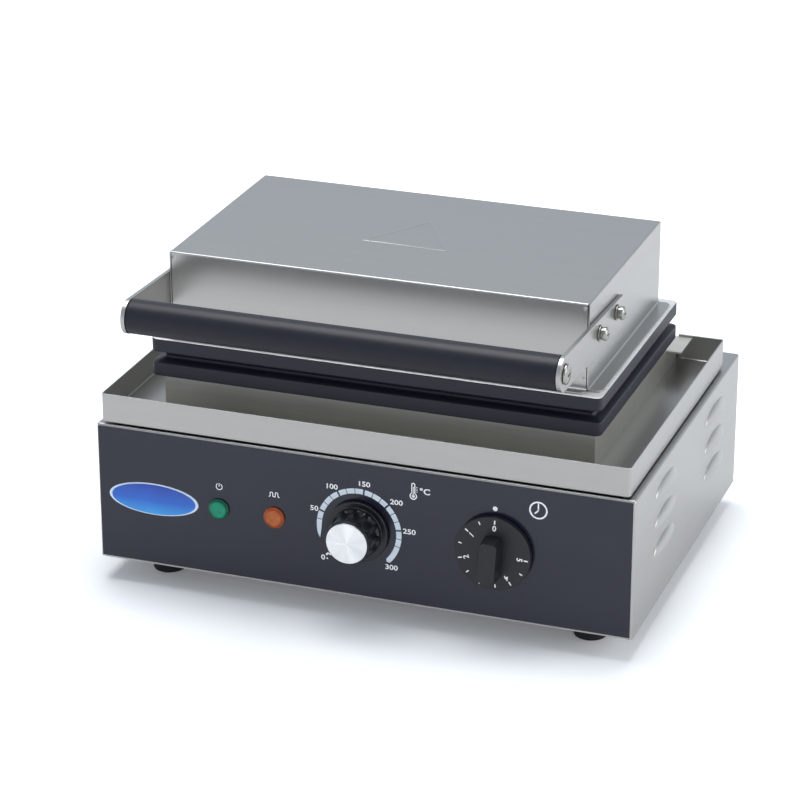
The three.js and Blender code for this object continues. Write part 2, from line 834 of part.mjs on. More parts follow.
// Drip tray
function trayForm(inset, top) {
  const y = (trayRear + trayFront) / 2;
  const width = 2 * (trayHalfWidth - inset);
  const depth = trayRear - trayFront - 2 * inset;
  const corner = trayCornerRadius - inset / 2;
  const bend = trayBottomRadius - inset / 2;
  const bottomBend = Array.from({ length: domeSteps + 1 }, (_, step) => {
    const angle = (step / domeSteps) * quarterTurn;
    const draw = 2 * bend * (1 - Math.sin(angle));
    const z = trayBottom + inset + bend * (1 - Math.cos(angle));
    return ring(width - draw, depth - draw, corner, 0, y, z);
  });
  return loft([...bottomBend, ring(width, depth, corner, 0, y, top)]);
}

// A pressed seat: a small cup in the tray's floor that stands on the housing.
function traySeat([x, y], inset) {
  const [bottom, top] = [bodyTop + seatGap + inset, trayFloor + inset];
  const wide = traySeatRadius - inset;
  const cup = new THREE.CylinderGeometry(wide, wide - traySeatDraft, top - bottom, tinySides);
  return solidOf(cup.rotateX(quarterTurn).translate(x, y, (top + bottom) / 2));
}

function dripTray() {
  const notch = blockBetween(
    [-pedestalHalfWidth - notchSpare, trayRear - 2 * traySheet, shelfBottom - notchDrop],
    [pedestalHalfWidth + notchSpare, trayRear + overrun, trayRim + overrun],
  );
  const down = (radius, [x, y], sides) => post(radius, trayLift + 2 * overrun, x, y, bodyTop, sides);
  const form = joined([trayForm(0, trayRim), ...traySeats.map((seat) => traySeat(seat, 0))]);
  return cut(form, [
    trayForm(traySheet, trayRim + overrun),
    ...traySeats.map((seat) => traySeat(seat, traySheet)),
    ...traySeats.map((seat) => down(boltHoleRadius, seat, tinySides)),
    down(ductHoleRadius, [ductHoleX, ductCentreY]),
    down(capillaryHoleRadius, [thermostatX, capillaryY]),
    notch,
  ]);
}
add(base, 'drip_tray', dripTray(), stainless);

// Pedestal: a box with flanges turned in at the top and the bottom, and a low box behind it as a cable duct
const plateSeats = [-1, 1].flatMap((side) => [-1, 1].map((row) => (
  [side * traySeatX, plateCentreY + row * plateSeatSpacing / 2]
)));

function pedestal() {
  const wide = pedestalHalfWidth;
  const inner = wide - pedestalSheet;
  const floor = pedestalBottom + pedestalSheet;
  const wallFront = pedestalRear - pedestalSheet;
  const reach = inner - pedestalFlange;
  const under = pedestalBottom - overrun;
  const main = blockBetween([-wide, pedestalFront, pedestalBottom], [wide, pedestalRear, pedestalTop]);
  const duct = blockBetween([-wide, wallFront, pedestalBottom], [wide, ductRear, ductTop]);
  const rooms = [
    blockBetween([-inner, pedestalFront + pedestalSheet, floor],
      [inner, wallFront, pedestalTop - pedestalSheet]),
    blockBetween([-inner, pedestalRear, floor], [inner, ductRear - pedestalSheet, ductTop - pedestalSheet]),
  ];
  const wells = [
    blockBetween([-reach, pedestalFront + pedestalSheet + pedestalFlange, under],
      [reach, wallFront - pedestalFlange, pedestalTop + overrun]),
    blockBetween([-reach, pedestalRear + ductFlange, under],
      [reach, ductRear - pedestalSheet - ductFlange, ductTop + overrun]),
  ];
  const hole = ([x, y], z) => post(boltHoleRadius, pedestalSheet + 2 * overrun, x, y, z, tinySides);
  const holes = [
    ...plateSeats.map((seat) => hole(seat, pedestalTop - pedestalSheet - overrun)),
    ...traySeats.map((seat) => hole(seat, under)),
  ];
  const wireHole = deepPost(wireHoleRadius, pedestalSheet + 2 * overrun, ductHoleX, wallFront - overrun,
    (ductTop + floor) / 2);
  return cut(main.add(duct), [...rooms, ...wells, ...holes, wireHole]);
}
add(base, 'plate_pedestal', pedestal(), stainless);

// Shelf that carries the hinges
const bracketHalfWidth = leafWidth / 2 + seatGap + earThickness + bracketWingWidth;
const wingX = bracketHalfWidth - bracketWingWidth / 2;

function hingeShelf() {
  const front = pedestalRear + seatGap;
  const wide = pedestalHalfWidth + shelfOverhang;
  const holes = [-hingeX, hingeX].flatMap((x) => [-wingX, wingX].map((wing) => (
    post(boltHoleRadius, shelfSheet + 2 * overrun, x + wing, ductCentreY, shelfBottom - overrun, tinySides)
  )));
  return cut(blockBetween([-wide, front, shelfBottom], [wide, shelfRear, shelfTop]), holes);
}
add(base, 'hinge_shelf', hingeShelf(), stainless);

// Cooking plates: the same casting serves below and, turned over, above
const cavityCentres = Array.from({ length: cavityCount }, (_, i) => (
  (i - (cavityCount - 1) / 2) * cavityPitch
));
const clampBolts = cavityCentres.slice(1).flatMap((x) => [-1, 1].map((row) => (
  [x - cavityPitch / 2, row * clampSpacing / 2]
)));

// One waffle place: a drafted pocket that leaves a grid of drafted studs standing.
function wafflePlace(x) {
  const floor = plateThickness - cavityDepth;
  const [width, length] = [cavityWidth - 2 * cavityDraft, cavityLength - 2 * cavityDraft];
  const pocket = loft([
    ring(width, length, cavityCornerRadius, x, 0, floor),
    ring(cavityWidth, cavityLength, cavityCornerRadius, x, 0, plateThickness),
    ring(cavityWidth, cavityLength, cavityCornerRadius, x, 0, plateThickness + overrun),
  ]);
  const pitchX = (width - studGroove) / studColumns;
  const pitchY = (length - studGroove) / studRows;
  const tip = plateThickness - studShortfall;
  const spread = 1 + overrun / (tip - floor);
  const studs = Array.from({ length: studColumns * studRows }, (_, i) => {
    const studX = x + ((i % studColumns) - (studColumns - 1) / 2) * pitchX;
    const studY = (Math.floor(i / studColumns) - (studRows - 1) / 2) * pitchY;
    const [tipX, tipY] = [pitchX - studGroove - 2 * studDraft, pitchY - studGroove - 2 * studDraft];
    const draw = 2 * studDraft * spread;
    return loft([
      sharpRing(tipX + draw, tipY + draw, studX, studY, floor - overrun),
      sharpRing(tipX, tipY, studX, studY, tip),
    ]);
  });
  return pocket.subtract(joined(studs));
}

// A plate with its cooking face up, its back at the origin and blind screw holes in that back.
function cookingPlate(seats) {
  const [meetWidth, meetDepth] = [plateWidth - 2 * grooveInset, plateDepth - 2 * grooveInset];
  const body = loft([
    ring(plateWidth, plateDepth, plateCornerRadius, 0, 0, 0),
    ring(plateWidth, plateDepth, plateCornerRadius, 0, 0, plateSideHeight),
    ring(meetWidth, meetDepth, plateCornerRadius, 0, 0, plateThickness),
  ]);
  const holes = [...clampBolts, ...seats].map(([x, y]) => (
    post(boltHoleRadius, boltBlindDepth + overrun, x, y, -overrun, tinySides)
  ));
  return cut(body, [...cavityCentres.map(wafflePlace), ...holes]);
}

// Heating element: its legs run to and fro across the back of the plate, with both ends at the rear
const heaterLegs = cavityCount * heaterLegsPerCavity;
const heaterPitch = cavityPitch / heaterLegsPerCavity;
const heaterRear = plateDepth / 2 - pedestalRearInset - flangeMargin - heaterTailLength;
const heaterZ = -seatGap - heaterRadius;

function heater() {
  const stations = [];
  const mark = (x, y, radius) => stations.push([new THREE.Vector3(x, y, heaterZ), radius]);
  const firstX = (-(heaterLegs - 1) / 2) * heaterPitch;
  const bendRadius = heaterPitch / 2;
  mark(firstX, heaterRear + heaterTailLength, heaterTailRadius);
  mark(firstX, heaterRear + seatGap, heaterTailRadius);
  mark(firstX, heaterRear, heaterRadius);
  for (let bend = 0; bend + 1 < heaterLegs; bend += 1) {
    const outward = bend % 2 === 0 ? -1 : 1;
    const centreX = firstX + bend * heaterPitch + bendRadius;
    const centreY = outward < 0 ? heaterFront + bendRadius : heaterRear - bendRadius;
    for (let step = 0; step <= heaterBendSteps; step += 1) {
      const angle = (1 - step / heaterBendSteps) * Math.PI;
      const swing = outward * bendRadius * Math.sin(angle);
      mark(centreX + bendRadius * Math.cos(angle), centreY + swing, heaterRadius);
    }
  }
  mark(-firstX, heaterRear, heaterRadius);
  mark(-firstX, heaterRear + seatGap, heaterTailRadius);
  mark(-firstX, heaterRear + heaterTailLength, heaterTailRadius);
  return flatTube(stations.map(([point]) => point), stations.map(([, radius]) => radius),
    new THREE.Vector3(0, 0, 1));
}

// A bar across the heating element, screwed to the webs between the waffle places.
const clampBottom = heaterZ - heaterRadius - seatGap - clampThickness;

function heaterClamp(row) {
  const y = row * clampSpacing / 2;
  const length = (heaterLegs - 1) * heaterPitch + 2 * clampOverhang;
  const holes = clampBolts.filter(([, boltY]) => boltY === y).map(([x]) => (
    post(boltHoleRadius, clampThickness + 2 * overrun, x, y, clampBottom - overrun, tinySides)
  ));
  return cut(block(length, clampWidth, clampThickness, 0, y, clampBottom), holes);
}

const leafBoltY = coverRear + seatGap + boltHeadRadius;
const leafBolts = [-hingeX, hingeX].flatMap((x) => [-1, 1].map((side) => (
  [x + side * leafBoltSpacing / 2, leafBoltY]
)));
const lowerPlate = place(base, 0, plateCentreY, plateBottom);
const upperPlate = place(lid, 0, plateCentreY, lidBack);
upperPlate.rotation.x = Math.PI;
const lowerSeats = plateSeats.map(([x, y]) => [x, y - plateCentreY]);
const upperSeats = leafBolts.map(([x, y]) => [x, plateCentreY - y]);
add(lowerPlate, 'lower_plate', cookingPlate(lowerSeats), blackCasting);
add(upperPlate, 'upper_plate', cookingPlate(upperSeats), blackCasting);
for (const [name, plate, front] of [['lower', lowerPlate, -1], ['upper', upperPlate, 1]]) {
  add(plate, `${name}_heater`, heater(), heaterSheath);
  add(plate, `${name}_heater_clamp_front`, heaterClamp(front), steel);
  add(plate, `${name}_heater_clamp_rear`, heaterClamp(-front), steel);
}

// Lid cover: a box with flanges turned out at its foot, open at the corners, and welded nuts for the arms
const armBoltZ = handleZ - armBoltDrop;
const armBoltYs = [handleY + armBoltReach, handleY + armBoltReach + armBoltPitch];

function coverForm(inset, bottom) {
  const [width, depth] = [coverWidth - 2 * inset, coverDepth - 2 * inset];
  const top = coverTop - inset;
  return loft([
    ring(width, depth, coverCornerRadius, 0, plateCentreY, bottom),
    ring(width, depth, coverCornerRadius, 0, plateCentreY, top - coverBend),
    ring(width - 2 * coverBend, depth - 2 * coverBend, coverCornerRadius, 0, plateCentreY, top),
  ]);
}

function lidCover() {
  const flange = (width, depth) => (
    roundedBlock(width, depth, coverSheet, coverFlangeRadius, 0, plateCentreY, coverBottom)
  );
  const nutsAt = (side) => armBoltYs.map((y) => (
    crossPost(nutRadius, nutHeight, side * (coverWidth / 2 - coverSheet - nutHeight / 2) - nutHeight / 2, y,
      armBoltZ, hexSides)
  ));
  const holes = [
    ...leafBolts.map(([x, y]) => (
      post(boltHoleRadius, coverSheet + 2 * overrun, x, y, coverBottom - overrun, tinySides)
    )),
    ...armBoltYs.map((y) => (
      crossPost(boltHoleRadius, coverWidth + 2 * overrun, -coverWidth / 2 - overrun, y, armBoltZ, tinySides)
    )),
  ];
  const outside = joined([
    coverForm(0, coverBottom),
    flange(coverWidth + 2 * coverSideFlange, coverDepth),
    flange(coverWidth, coverDepth + 2 * coverEndFlange),
  ]);
  const shell = outside.subtract(coverForm(coverSheet, coverBottom - overrun));
  return cut(joined([shell, ...nutsAt(-1), ...nutsAt(1)]), holes);
}
add(lid, 'lid_cover', lidCover(), stainless);

// Insulation board on the clamp bars
function insulation() {
  const margin = 2 * (coverSheet + insulationMargin);
  return block(coverWidth - margin, coverDepth - margin, insulationThickness, 0, plateCentreY,
    lidBack - clampBottom + seatGap);
}
add(lid, 'lid_insulation', insulation(), mineralBoard);

// Hinges: a bracket with two ears on the shelf, a pin, and a leaf screwed on the upper plate
const earInner = leafWidth / 2 + seatGap;
const earOuter = earInner + earThickness;

// Side view of an ear: a round eye about the hinge axis on a straight stem.
function earShape(stemBottom) {
  const shape = new THREE.Shape();
  shape.moveTo(hingeY - earRadius, stemBottom);
  shape.lineTo(hingeY + earRadius, stemBottom);
  shape.absarc(hingeY, parting, earRadius, 0, Math.PI);
  shape.closePath();
  return shape;
}

function hingeBracket() {
  const bottom = shelfTop + seatGap;
  const footPlate = block(2 * bracketHalfWidth, bracketFootDepth, bracketFootThickness, 0, ductCentreY,
    bottom);
  const ears = [-earOuter, earInner].map((x) => sideways(earShape(bottom), earThickness, x));
  const holes = [-wingX, wingX].map((x) => (
    post(boltHoleRadius, bracketFootThickness + 2 * overrun, x, ductCentreY, bottom - overrun, tinySides)
  ));
  const bore = crossPost(hingePinRadius + seatGap, 2 * (earOuter + overrun), -earOuter - overrun,
    hingeY, parting);
  return cut(joined([footPlate, ...ears]), [...holes, bore]);
}

// The leaf lies over the cover's rear flange and drops behind the plate to the pin.
function hingeLeaf() {
  const bottom = coverBottom + coverSheet + seatGap;
  const top = bottom + leafThickness;
  const front = leafBoltY - boltHeadRadius;
  const [near, far] = [hingeY - leafKnuckleRadius, hingeY + leafKnuckleRadius];
  const shape = new THREE.Shape();
  shape.moveTo(front, bottom);
  shape.lineTo(near, bottom);
  shape.absarc(hingeY, parting, leafKnuckleRadius, Math.PI, 2 * Math.PI);
  shape.lineTo(far, bottom);
  shape.lineTo(far - leafThickness, top);
  shape.lineTo(front, top);
  shape.closePath();
  const bore = crossPost(hingePinRadius + seatGap, leafWidth + 2 * overrun, -leafWidth / 2 - overrun,
    hingeY, parting);
  const holes = [-1, 1].map((side) => (
    post(boltHoleRadius, leafThickness + 2 * overrun, side * leafBoltSpacing / 2, leafBoltY,
      bottom - overrun, tinySides)
  ));
  return cut(sideways(shape, leafWidth, -leafWidth / 2), [bore, ...holes]);
}

function hingePin() {
  const reach = earOuter + seatGap;
  const heads = [-reach - hingePinHead, reach].map((x) => (
    crossPost(hingePinHeadRadius, hingePinHead, x, hingeY, parting)
  ));
  const end = reach + hingePinHead;
  const shank = crossPost(hingePinRadius, 2 * end, -end, hingeY, parting);
  return joined([shank, ...heads]);
}
for (const [side, x] of [['left', -hingeX], ['right', hingeX]]) {
  add(place(base, x, 0, 0), `hinge_bracket_${side}`, hingeBracket(), steel);
  add(place(base, x, 0, 0), `hinge_pin_${side}`, hingePin(), steel);
  add(place(lid, x, 0, 0), `hinge_leaf_${side}`, hingeLeaf(), steel);
}

// Handle: a flat strip on each side with a round end in front, which falls gently towards the rear
function handleArm() {
  const shape = new THREE.Shape();
  shape.moveTo(0, -armEyeRadius);
  shape.lineTo(armLength, -armEyeRadius);
  shape.lineTo(armLength, armEyeRadius);
  shape.lineTo(0, armEyeRadius);
  shape.absarc(0, 0, armEyeRadius, quarterTurn, 3 * quarterTurn);
  const options = { depth: armThickness, bevelEnabled: false, curveSegments: smallSides };
  const strip = new THREE.ExtrudeGeometry(shape, options).rotateX(quarterTurn).rotateZ(quarterTurn);
  const holes = [[handleY, handleZ], ...armBoltYs.map((y) => [y, armBoltZ])].map(([y, z]) => (
    crossPost(boltHoleRadius, armThickness + 2 * overrun, -overrun, y, z, tinySides)
  ));
  return cut(solidOf(strip.rotateX(-armRise).translate(0, handleY, handleZ)), holes);
}
add(place(lid, -armOuter, 0, 0), 'handle_arm_left', handleArm(), stainless);
add(place(lid, armInner, 0, 0), 'handle_arm_right', handleArm(), stainless);

// Grip tube between the arms, the rod in it and the screws that hold them
const gripHalf = armInner - seatGap;

function handleGrip() {
  const bore = crossPost(gripBoreRadius, 2 * (gripHalf + overrun), -gripHalf - overrun, handleY, handleZ);
  return crossPost(gripRadius, 2 * gripHalf, -gripHalf, handleY, handleZ, fineSides).subtract(bore);
}

function handleRod() {
  const depth = endScrewEngagement + seatGap;
  const bores = [-gripHalf - overrun, gripHalf - depth].map((x) => (
    crossPost(boltHoleRadius, depth + overrun, x, handleY, handleZ, tinySides)
  ));
  return cut(crossPost(handleRodRadius, 2 * gripHalf, -gripHalf, handleY, handleZ), bores);
}

function endScrew() {
  return turned([
    [0, gripHalf - endScrewEngagement - armOuter],
    [boltRadius, gripHalf - endScrewEngagement - armOuter],
    [boltRadius, seatGap],
    [endScrewRadius, seatGap],
    ...dome(endScrewRadius, endScrewDome, seatGap + endScrewRim),
  ]);
}
add(lid, 'handle_grip', handleGrip(), bakelite);
add(lid, 'handle_rod', handleRod(), steel);
for (const [name, side] of [['left', -1], ['right', 1]]) {
  add(placeOnSide(side, armOuter, handleY, handleZ), `handle_end_screw_${name}`, endScrew(), steel);
}

// Arm bolts, each with its spring washer on it, over a plain washer
const washerTop = seatGap + washerThickness;

function armWasher() {
  const hole = post(boltHoleRadius, washerThickness + 2 * overrun, 0, 0, seatGap - overrun, tinySides);
  return post(washerRadius, washerThickness, 0, 0, seatGap).subtract(hole);
}

function armBolt() {
  const tip = -(armThickness + seatGap + coverSheet + nutHeight);
  const springBottom = washerTop + seatGap;
  const headBottom = springBottom + springWasherThickness;
  const rim = boltHeadHeight / 2;
  return turned([
    [0, tip],
    [boltRadius, tip],
    [boltRadius, springBottom],
    [springWasherRadius, springBottom],
    [springWasherRadius, headBottom],
    [boltHeadRadius, headBottom],
    ...dome(boltHeadRadius, boltHeadHeight - rim, headBottom + rim),
  ], smallSides);
}
for (const [sideName, side] of [['left', -1], ['right', 1]]) {
  armBoltYs.forEach((y, i) => {
    const spot = placeOnSide(side, armOuter, y, armBoltZ);
    const end = ['front', 'rear'][i];
    add(spot, `arm_washer_${sideName}_${end}`, armWasher(), steel);
    add(spot, `arm_bolt_${sideName}_${end}`, armBolt(), steel);
  });
}

export default machine;
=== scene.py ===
"""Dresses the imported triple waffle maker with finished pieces, materials and a studio stage."""
import math

import bmesh
import bpy
import numpy as np
from mathutils import Matrix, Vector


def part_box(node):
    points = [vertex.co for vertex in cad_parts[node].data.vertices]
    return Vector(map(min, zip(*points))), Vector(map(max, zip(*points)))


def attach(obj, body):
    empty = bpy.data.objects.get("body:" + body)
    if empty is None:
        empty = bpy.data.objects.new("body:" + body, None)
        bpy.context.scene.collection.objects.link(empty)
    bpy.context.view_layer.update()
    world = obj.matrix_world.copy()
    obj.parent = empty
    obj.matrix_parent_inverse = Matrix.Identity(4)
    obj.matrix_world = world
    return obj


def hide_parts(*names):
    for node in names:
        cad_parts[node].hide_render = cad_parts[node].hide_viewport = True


bl_info = {
    "name": "Triple Waffle Maker",
    "version": (1, 0, 0),
    "blender": (4, 5, 0),
    "location": "3D View > Sidebar > Waffle Maker",
    "description": "Builds the finished pieces, materials and stage around the packed waffle maker",
    "category": "Object",
}

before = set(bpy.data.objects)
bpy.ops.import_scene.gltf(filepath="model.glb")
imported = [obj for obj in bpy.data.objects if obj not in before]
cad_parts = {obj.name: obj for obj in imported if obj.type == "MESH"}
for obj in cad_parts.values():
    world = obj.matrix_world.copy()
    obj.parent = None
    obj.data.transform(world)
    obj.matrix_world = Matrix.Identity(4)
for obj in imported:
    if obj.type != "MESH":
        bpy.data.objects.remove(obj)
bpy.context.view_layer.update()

# Lengths in the geometry are millimetres, and meshes are made in metres.
MM = 0.001
# Heights in the geometry count from 10 mm under the housing, and that plane lies this much above the worktop.
STAND = 8


# Colours and sizes

def linear(text):
    """The linear colour of an sRGB hex value."""
    values = np.array([int(text[i:i + 2], 16) for i in (1, 3, 5)]) / 255
    values = np.where(values <= 0.04045, values / 12.92, ((values + 0.055) / 1.055) ** 2.4)
    return tuple(values.tolist())


def length(name, description, default):
    """A length property, given in millimetres and kept in metres."""
    return bpy.props.FloatProperty(
        name=name, description=description, default=default * MM, min=0, unit="LENGTH", precision=4,
    )


def colour(name, description, default):
    """A colour property from an sRGB hex value."""
    return bpy.props.FloatVectorProperty(
        name=name, description=description, default=linear(default), subtype="COLOR", min=0, max=1,
    )


class WAFFLE_PG_sizes(bpy.types.PropertyGroup):
    """Sizes that the CAD model leaves to the finished pieces"""

    sheet: length("Sheet", "Thickness of the stainless sheet", 1)
    housing_bend: length("Housing bend", "Outer radius of the housing's folds", 2)
    louvre_depth: length("Louvre depth", "How far a pressed louvre stands out", 3.6)
    tray_bend: length("Tray bend", "Outer radius between the tray's floor and its walls", 1.3)
    cover_bend: length("Cover bend", "Outer radius of the cover's folds", 1.2)
    bead_height: length("Bead height", "Height of the pressed triangle on the cover", 0.42)
    bead_width: length("Bead width", "Width of the pressed triangle's bead", 3.0)
    edge: length("Edge", "Rounding of the castings' edges", 0.7)
    digit_height: length("Digit height", "Height of the dial's digits", 4.2)
    ring_radius: length("Ring radius", "Outer radius of the dial ring", 32.5)
    ring_band: length("Ring band", "Width of the dial ring", 4)
    ink: length("Ink", "How far the print stands off its surface", 0.05)
    flutes: bpy.props.IntProperty(name="Flutes", description="Flutes round the thermostat knob", default=12, min=3)
    stud_columns: bpy.props.IntProperty(name="Stud columns", description="Studs across a place", default=4, min=1)
    stud_rows: bpy.props.IntProperty(name="Stud rows", description="Studs along a place", default=7, min=1)


class WAFFLE_PG_colours(bpy.types.PropertyGroup):
    """Colours of the finishes"""

    stainless: colour("Stainless", "Brushed stainless sheet", "#B3B2AF")
    zinc: colour("Zinc", "Bright zinc plating", "#A3A29C")
    aluminium: colour("Aluminium", "Spun aluminium", "#F2F4F6")
    machined: colour("Machined rim", "Bare machined edge of a casting", "#E0E0E0")
    film: colour("Film", "Printed front film", "#181A2C")
    coating: colour("Coating", "Non-stick coating of the castings", "#1C1E29")
    bakelite: colour("Bakelite", "Moulded handle grip", "#1D1F27")
    moulded: colour("Moulded plastic", "Knobs and cable gland", "#15161C")
    rubber: colour("Rubber", "Feet", "#161617")
    green: colour("Green lens", "Power lamp", "#0A8A68")
    orange: colour("Orange lens", "Heating lamp", "#B5602F")
    ink: colour("Ink", "White print", "#FFFFFF")
    ring: colour("Ring ink", "Pale print of the dial ring", "#DEE8F2")
    enamel: colour("Enamel", "Blue of the bare oval plate", "#2358A8")
    floor: colour("Floor", "Studio floor", "#F6F8FA")


# Surfaces

def surface(points, wrap=False, material=0, keep=None, uv=None):
    """One surface of a mesh from rows x columns x 3 points. With wrap each row closes on itself.
    material is a slot, or one per column; keep says which quads stay; uv has a pair for each point."""
    rows, columns = points.shape[:2]
    index = np.arange(rows * columns).reshape(rows, columns)
    if wrap:
        index = np.concatenate([index, index[:, :1]], axis=1)
    quads = np.stack([index[:-1, :-1], index[:-1, 1:], index[1:, 1:], index[1:, :-1]], axis=-1)
    slots = np.broadcast_to(material, quads.shape[:2])
    stay = np.ones(quads.shape[:2], bool) if keep is None else keep
    pairs = np.zeros((rows * columns, 2)) if uv is None else uv.reshape(-1, 2)
    return points.reshape(-1, 3), quads[stay].tolist(), slots[stay].ravel(), pairs


def capped(rings):
    """Closes a loft of rows x columns x 3 points: a row before and one after it gather in the middle of its ends."""
    first = np.broadcast_to(rings[0].mean(axis=0), rings[:1].shape)
    last = np.broadcast_to(rings[-1].mean(axis=0), rings[:1].shape)
    return np.concatenate([first, rings, last])


def spread(low, high, radius, middle=(), steps=5):
    """Grid lines from low to high that crowd in both round ends: there they lie at radius times the tangent
    of even angles. middle gives more lines between them."""
    turn = radius * np.append(np.tan(np.linspace(0, math.pi / 4, steps + 1)), -0.4)
    every = np.concatenate([low + radius - turn, np.asarray(middle, float), high - radius + turn])
    return np.unique(np.round(every, 5))


def softened(corners, radii, steps=4):
    """A polyline with its inner corners P drawn round: each becomes (1-s)^2 A + 2s(1-s) P + s^2 B, where A and B
    lie at the given distance from P along its two sides. A point a little outside each keeps the side flat."""
    corners = np.array(corners, float)
    corner = corners[1:-1]
    back, fore = corners[:-2] - corner, corners[2:] - corner
    reach = np.broadcast_to(radii, len(corner))[:, None]
    back_length = np.linalg.norm(back, axis=1, keepdims=True)
    fore_length = np.linalg.norm(fore, axis=1, keepdims=True)
    start = corner + back / back_length * np.minimum(reach, back_length / 2)
    end = corner + fore / fore_length * np.minimum(reach, fore_length / 2)
    before = corner + back / back_length * np.minimum(1.35 * reach, back_length / 2)
    after = corner + fore / fore_length * np.minimum(1.35 * reach, fore_length / 2)
    s = np.linspace(0, 1, steps + 1)[None, :, None]
    curve = (1 - s) ** 2 * start[:, None] + 2 * s * (1 - s) * corner[:, None] + s ** 2 * end[:, None]
    curve = np.concatenate([before[:, None], curve, after[:, None]], axis=1)
    return np.concatenate([corners[:1], curve.reshape(-1, 2), corners[-1:]])


def square_ring(across, along):
    """Points round the edge of a rectangle, anticlockwise from its lower left corner, on the given lines."""
    low_x, high_x, low_y, high_y = across[0], across[-1], along[0], along[-1]
    bottom = np.stack([across, np.full_like(across, low_y)], axis=-1)
    right = np.stack([np.full_like(along, high_x), along], axis=-1)
    top = np.stack([across[::-1], np.full_like(across, high_y)], axis=-1)
    left = np.stack([np.full_like(along, low_x), along[::-1]], axis=-1)
    return np.concatenate([bottom[:-1], right[:-1], top[:-1], left[:-1]])


def rounded_ring(ring, half, radius):
    """A ring on the edge of the square from -1 to 1, moved to a rectangle with round corners: a point is the
    nearest point of the inner rectangle plus radius times the unit step away from it."""
    half = np.array(half, float)
    points = ring * half
    inner = np.clip(points, radius - half, half - radius)
    step = points - inner
    return inner + radius * step / np.linalg.norm(step, axis=-1, keepdims=True)


def ring_loft(ring, half, radius, rows, centre):
    """Rounded rectangles carried through rows of (inset, height) round a centre in plan."""
    half = np.array(half, float)
    flat = np.stack([rounded_ring(ring, half - inset, max(radius - 0.3 * inset, 0.3)) for inset, _ in rows])
    tall = np.broadcast_to(rows[:, 1, None, None], (*flat.shape[:2], 1))
    return np.concatenate([flat + np.array(centre), tall], axis=-1)


def turned(profile, sides=64, swell=None):
    """A body of revolution about Z: profile rows of (radius, height) are turned through a full circle, and swell
    may change the radius by angle and height."""
    angle = np.linspace(0, 2 * math.pi, sides, endpoint=False)[None, :]
    radius = np.broadcast_to(profile[:, :1], (len(profile), sides))
    height = np.broadcast_to(profile[:, 1:], (len(profile), sides))
    if swell is not None:
        radius = swell(radius, angle, height)
    return np.stack([radius * np.cos(angle), radius * np.sin(angle), height], axis=-1)


def slab(outline, low, high, edge):
    """A plate with softened edges: an outline is carried from low to high and drawn in at both ends along its
    own normal."""
    ahead = np.roll(outline, -1, axis=0) - np.roll(outline, 1, axis=0)
    normal = np.stack([ahead[:, 1], -ahead[:, 0]], axis=-1)
    normal /= np.linalg.norm(normal, axis=-1, keepdims=True)
    rows = softened([(edge, low), (0, low), (0, high), (edge, high)], edge)
    flat = outline[None] - rows[:, :1, None] * normal[None]
    tall = np.broadcast_to(rows[:, 1:, None], (*flat.shape[:2], 1))
    return capped(np.concatenate([flat, tall], axis=-1))


FACINGS = {
    "up": [[1, 0, 0], [0, 1, 0], [0, 0, 1]],
    "down": [[1, 0, 0], [0, -1, 0], [0, 0, -1]],
    "front": [[1, 0, 0], [0, 0, 1], [0, -1, 0]],
    "rear": [[-1, 0, 0], [0, 0, 1], [0, 1, 0]],
    "right": [[0, 1, 0], [0, 0, 1], [1, 0, 0]],
    "left": [[0, -1, 0], [0, 0, 1], [-1, 0, 0]],
}


def placed(points, facing, place):
    """Points whose Z looks out of a face of the machine, moved there."""
    return points @ np.array(FACINGS[facing], float) + np.array(place, float)


def build(name, surfaces, materials, crisp=32, turn=True):
    """A mesh object from surfaces in millimetres: shared edges are merged, turn makes the faces look outwards,
    and edges sharper than crisp degrees stay crisp."""
    starts = np.cumsum([0] + [len(points) for points, _, _, _ in surfaces])
    points = (np.concatenate([points for points, _, _, _ in surfaces]) + (0, 0, STAND)) * MM
    faces = [[i + start for i in face] for start, (_, quads, _, _) in zip(starts.tolist(), surfaces) for face in quads]
    mesh = bpy.data.meshes.new(name)
    mesh.from_pydata(points.tolist(), [], faces)
    mesh.polygons.foreach_set("material_index", np.concatenate([slots for _, _, slots, _ in surfaces]).astype(np.int32))
    uv = np.concatenate([pairs for _, _, _, pairs in surfaces])
    if uv.any():
        corner = np.zeros(len(mesh.loops), np.int32)
        mesh.loops.foreach_get("vertex_index", corner)
        mesh.uv_layers.new(name="UVMap").data.foreach_set("uv", uv[corner].astype(np.float32).ravel())
    work = bmesh.new()
    work.from_mesh(mesh)
    bmesh.ops.remove_doubles(work, verts=work.verts, dist=2e-6)
    bmesh.ops.dissolve_degenerate(work, dist=1e-7, edges=work.edges)
    if turn:
        bmesh.ops.recalc_face_normals(work, faces=work.faces)
        middle = sum((v.co for v in work.verts), work.verts[:][0].co * 0) / len(work.verts)
        outward = sum(f.normal.dot(f.calc_center_median() - middle) * f.calc_area() for f in work.faces)
        if outward < 0:
            bmesh.ops.reverse_faces(work, faces=work.faces)
    work.to_mesh(mesh)
    work.free()
    mesh.shade_smooth()
    mesh.set_sharp_from_angle(angle=math.radians(crisp))
    for material in materials:
        mesh.materials.append(material)
    piece = bpy.data.objects.new(name, mesh)
    bpy.context.scene.collection.objects.link(piece)
    return piece


def fitted(piece, body, nodes=()):
    """Hangs a piece on its body and hides the CAD nodes that it stands for."""
    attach(piece, body)
    if nodes:
        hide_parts(*nodes)
    return piece


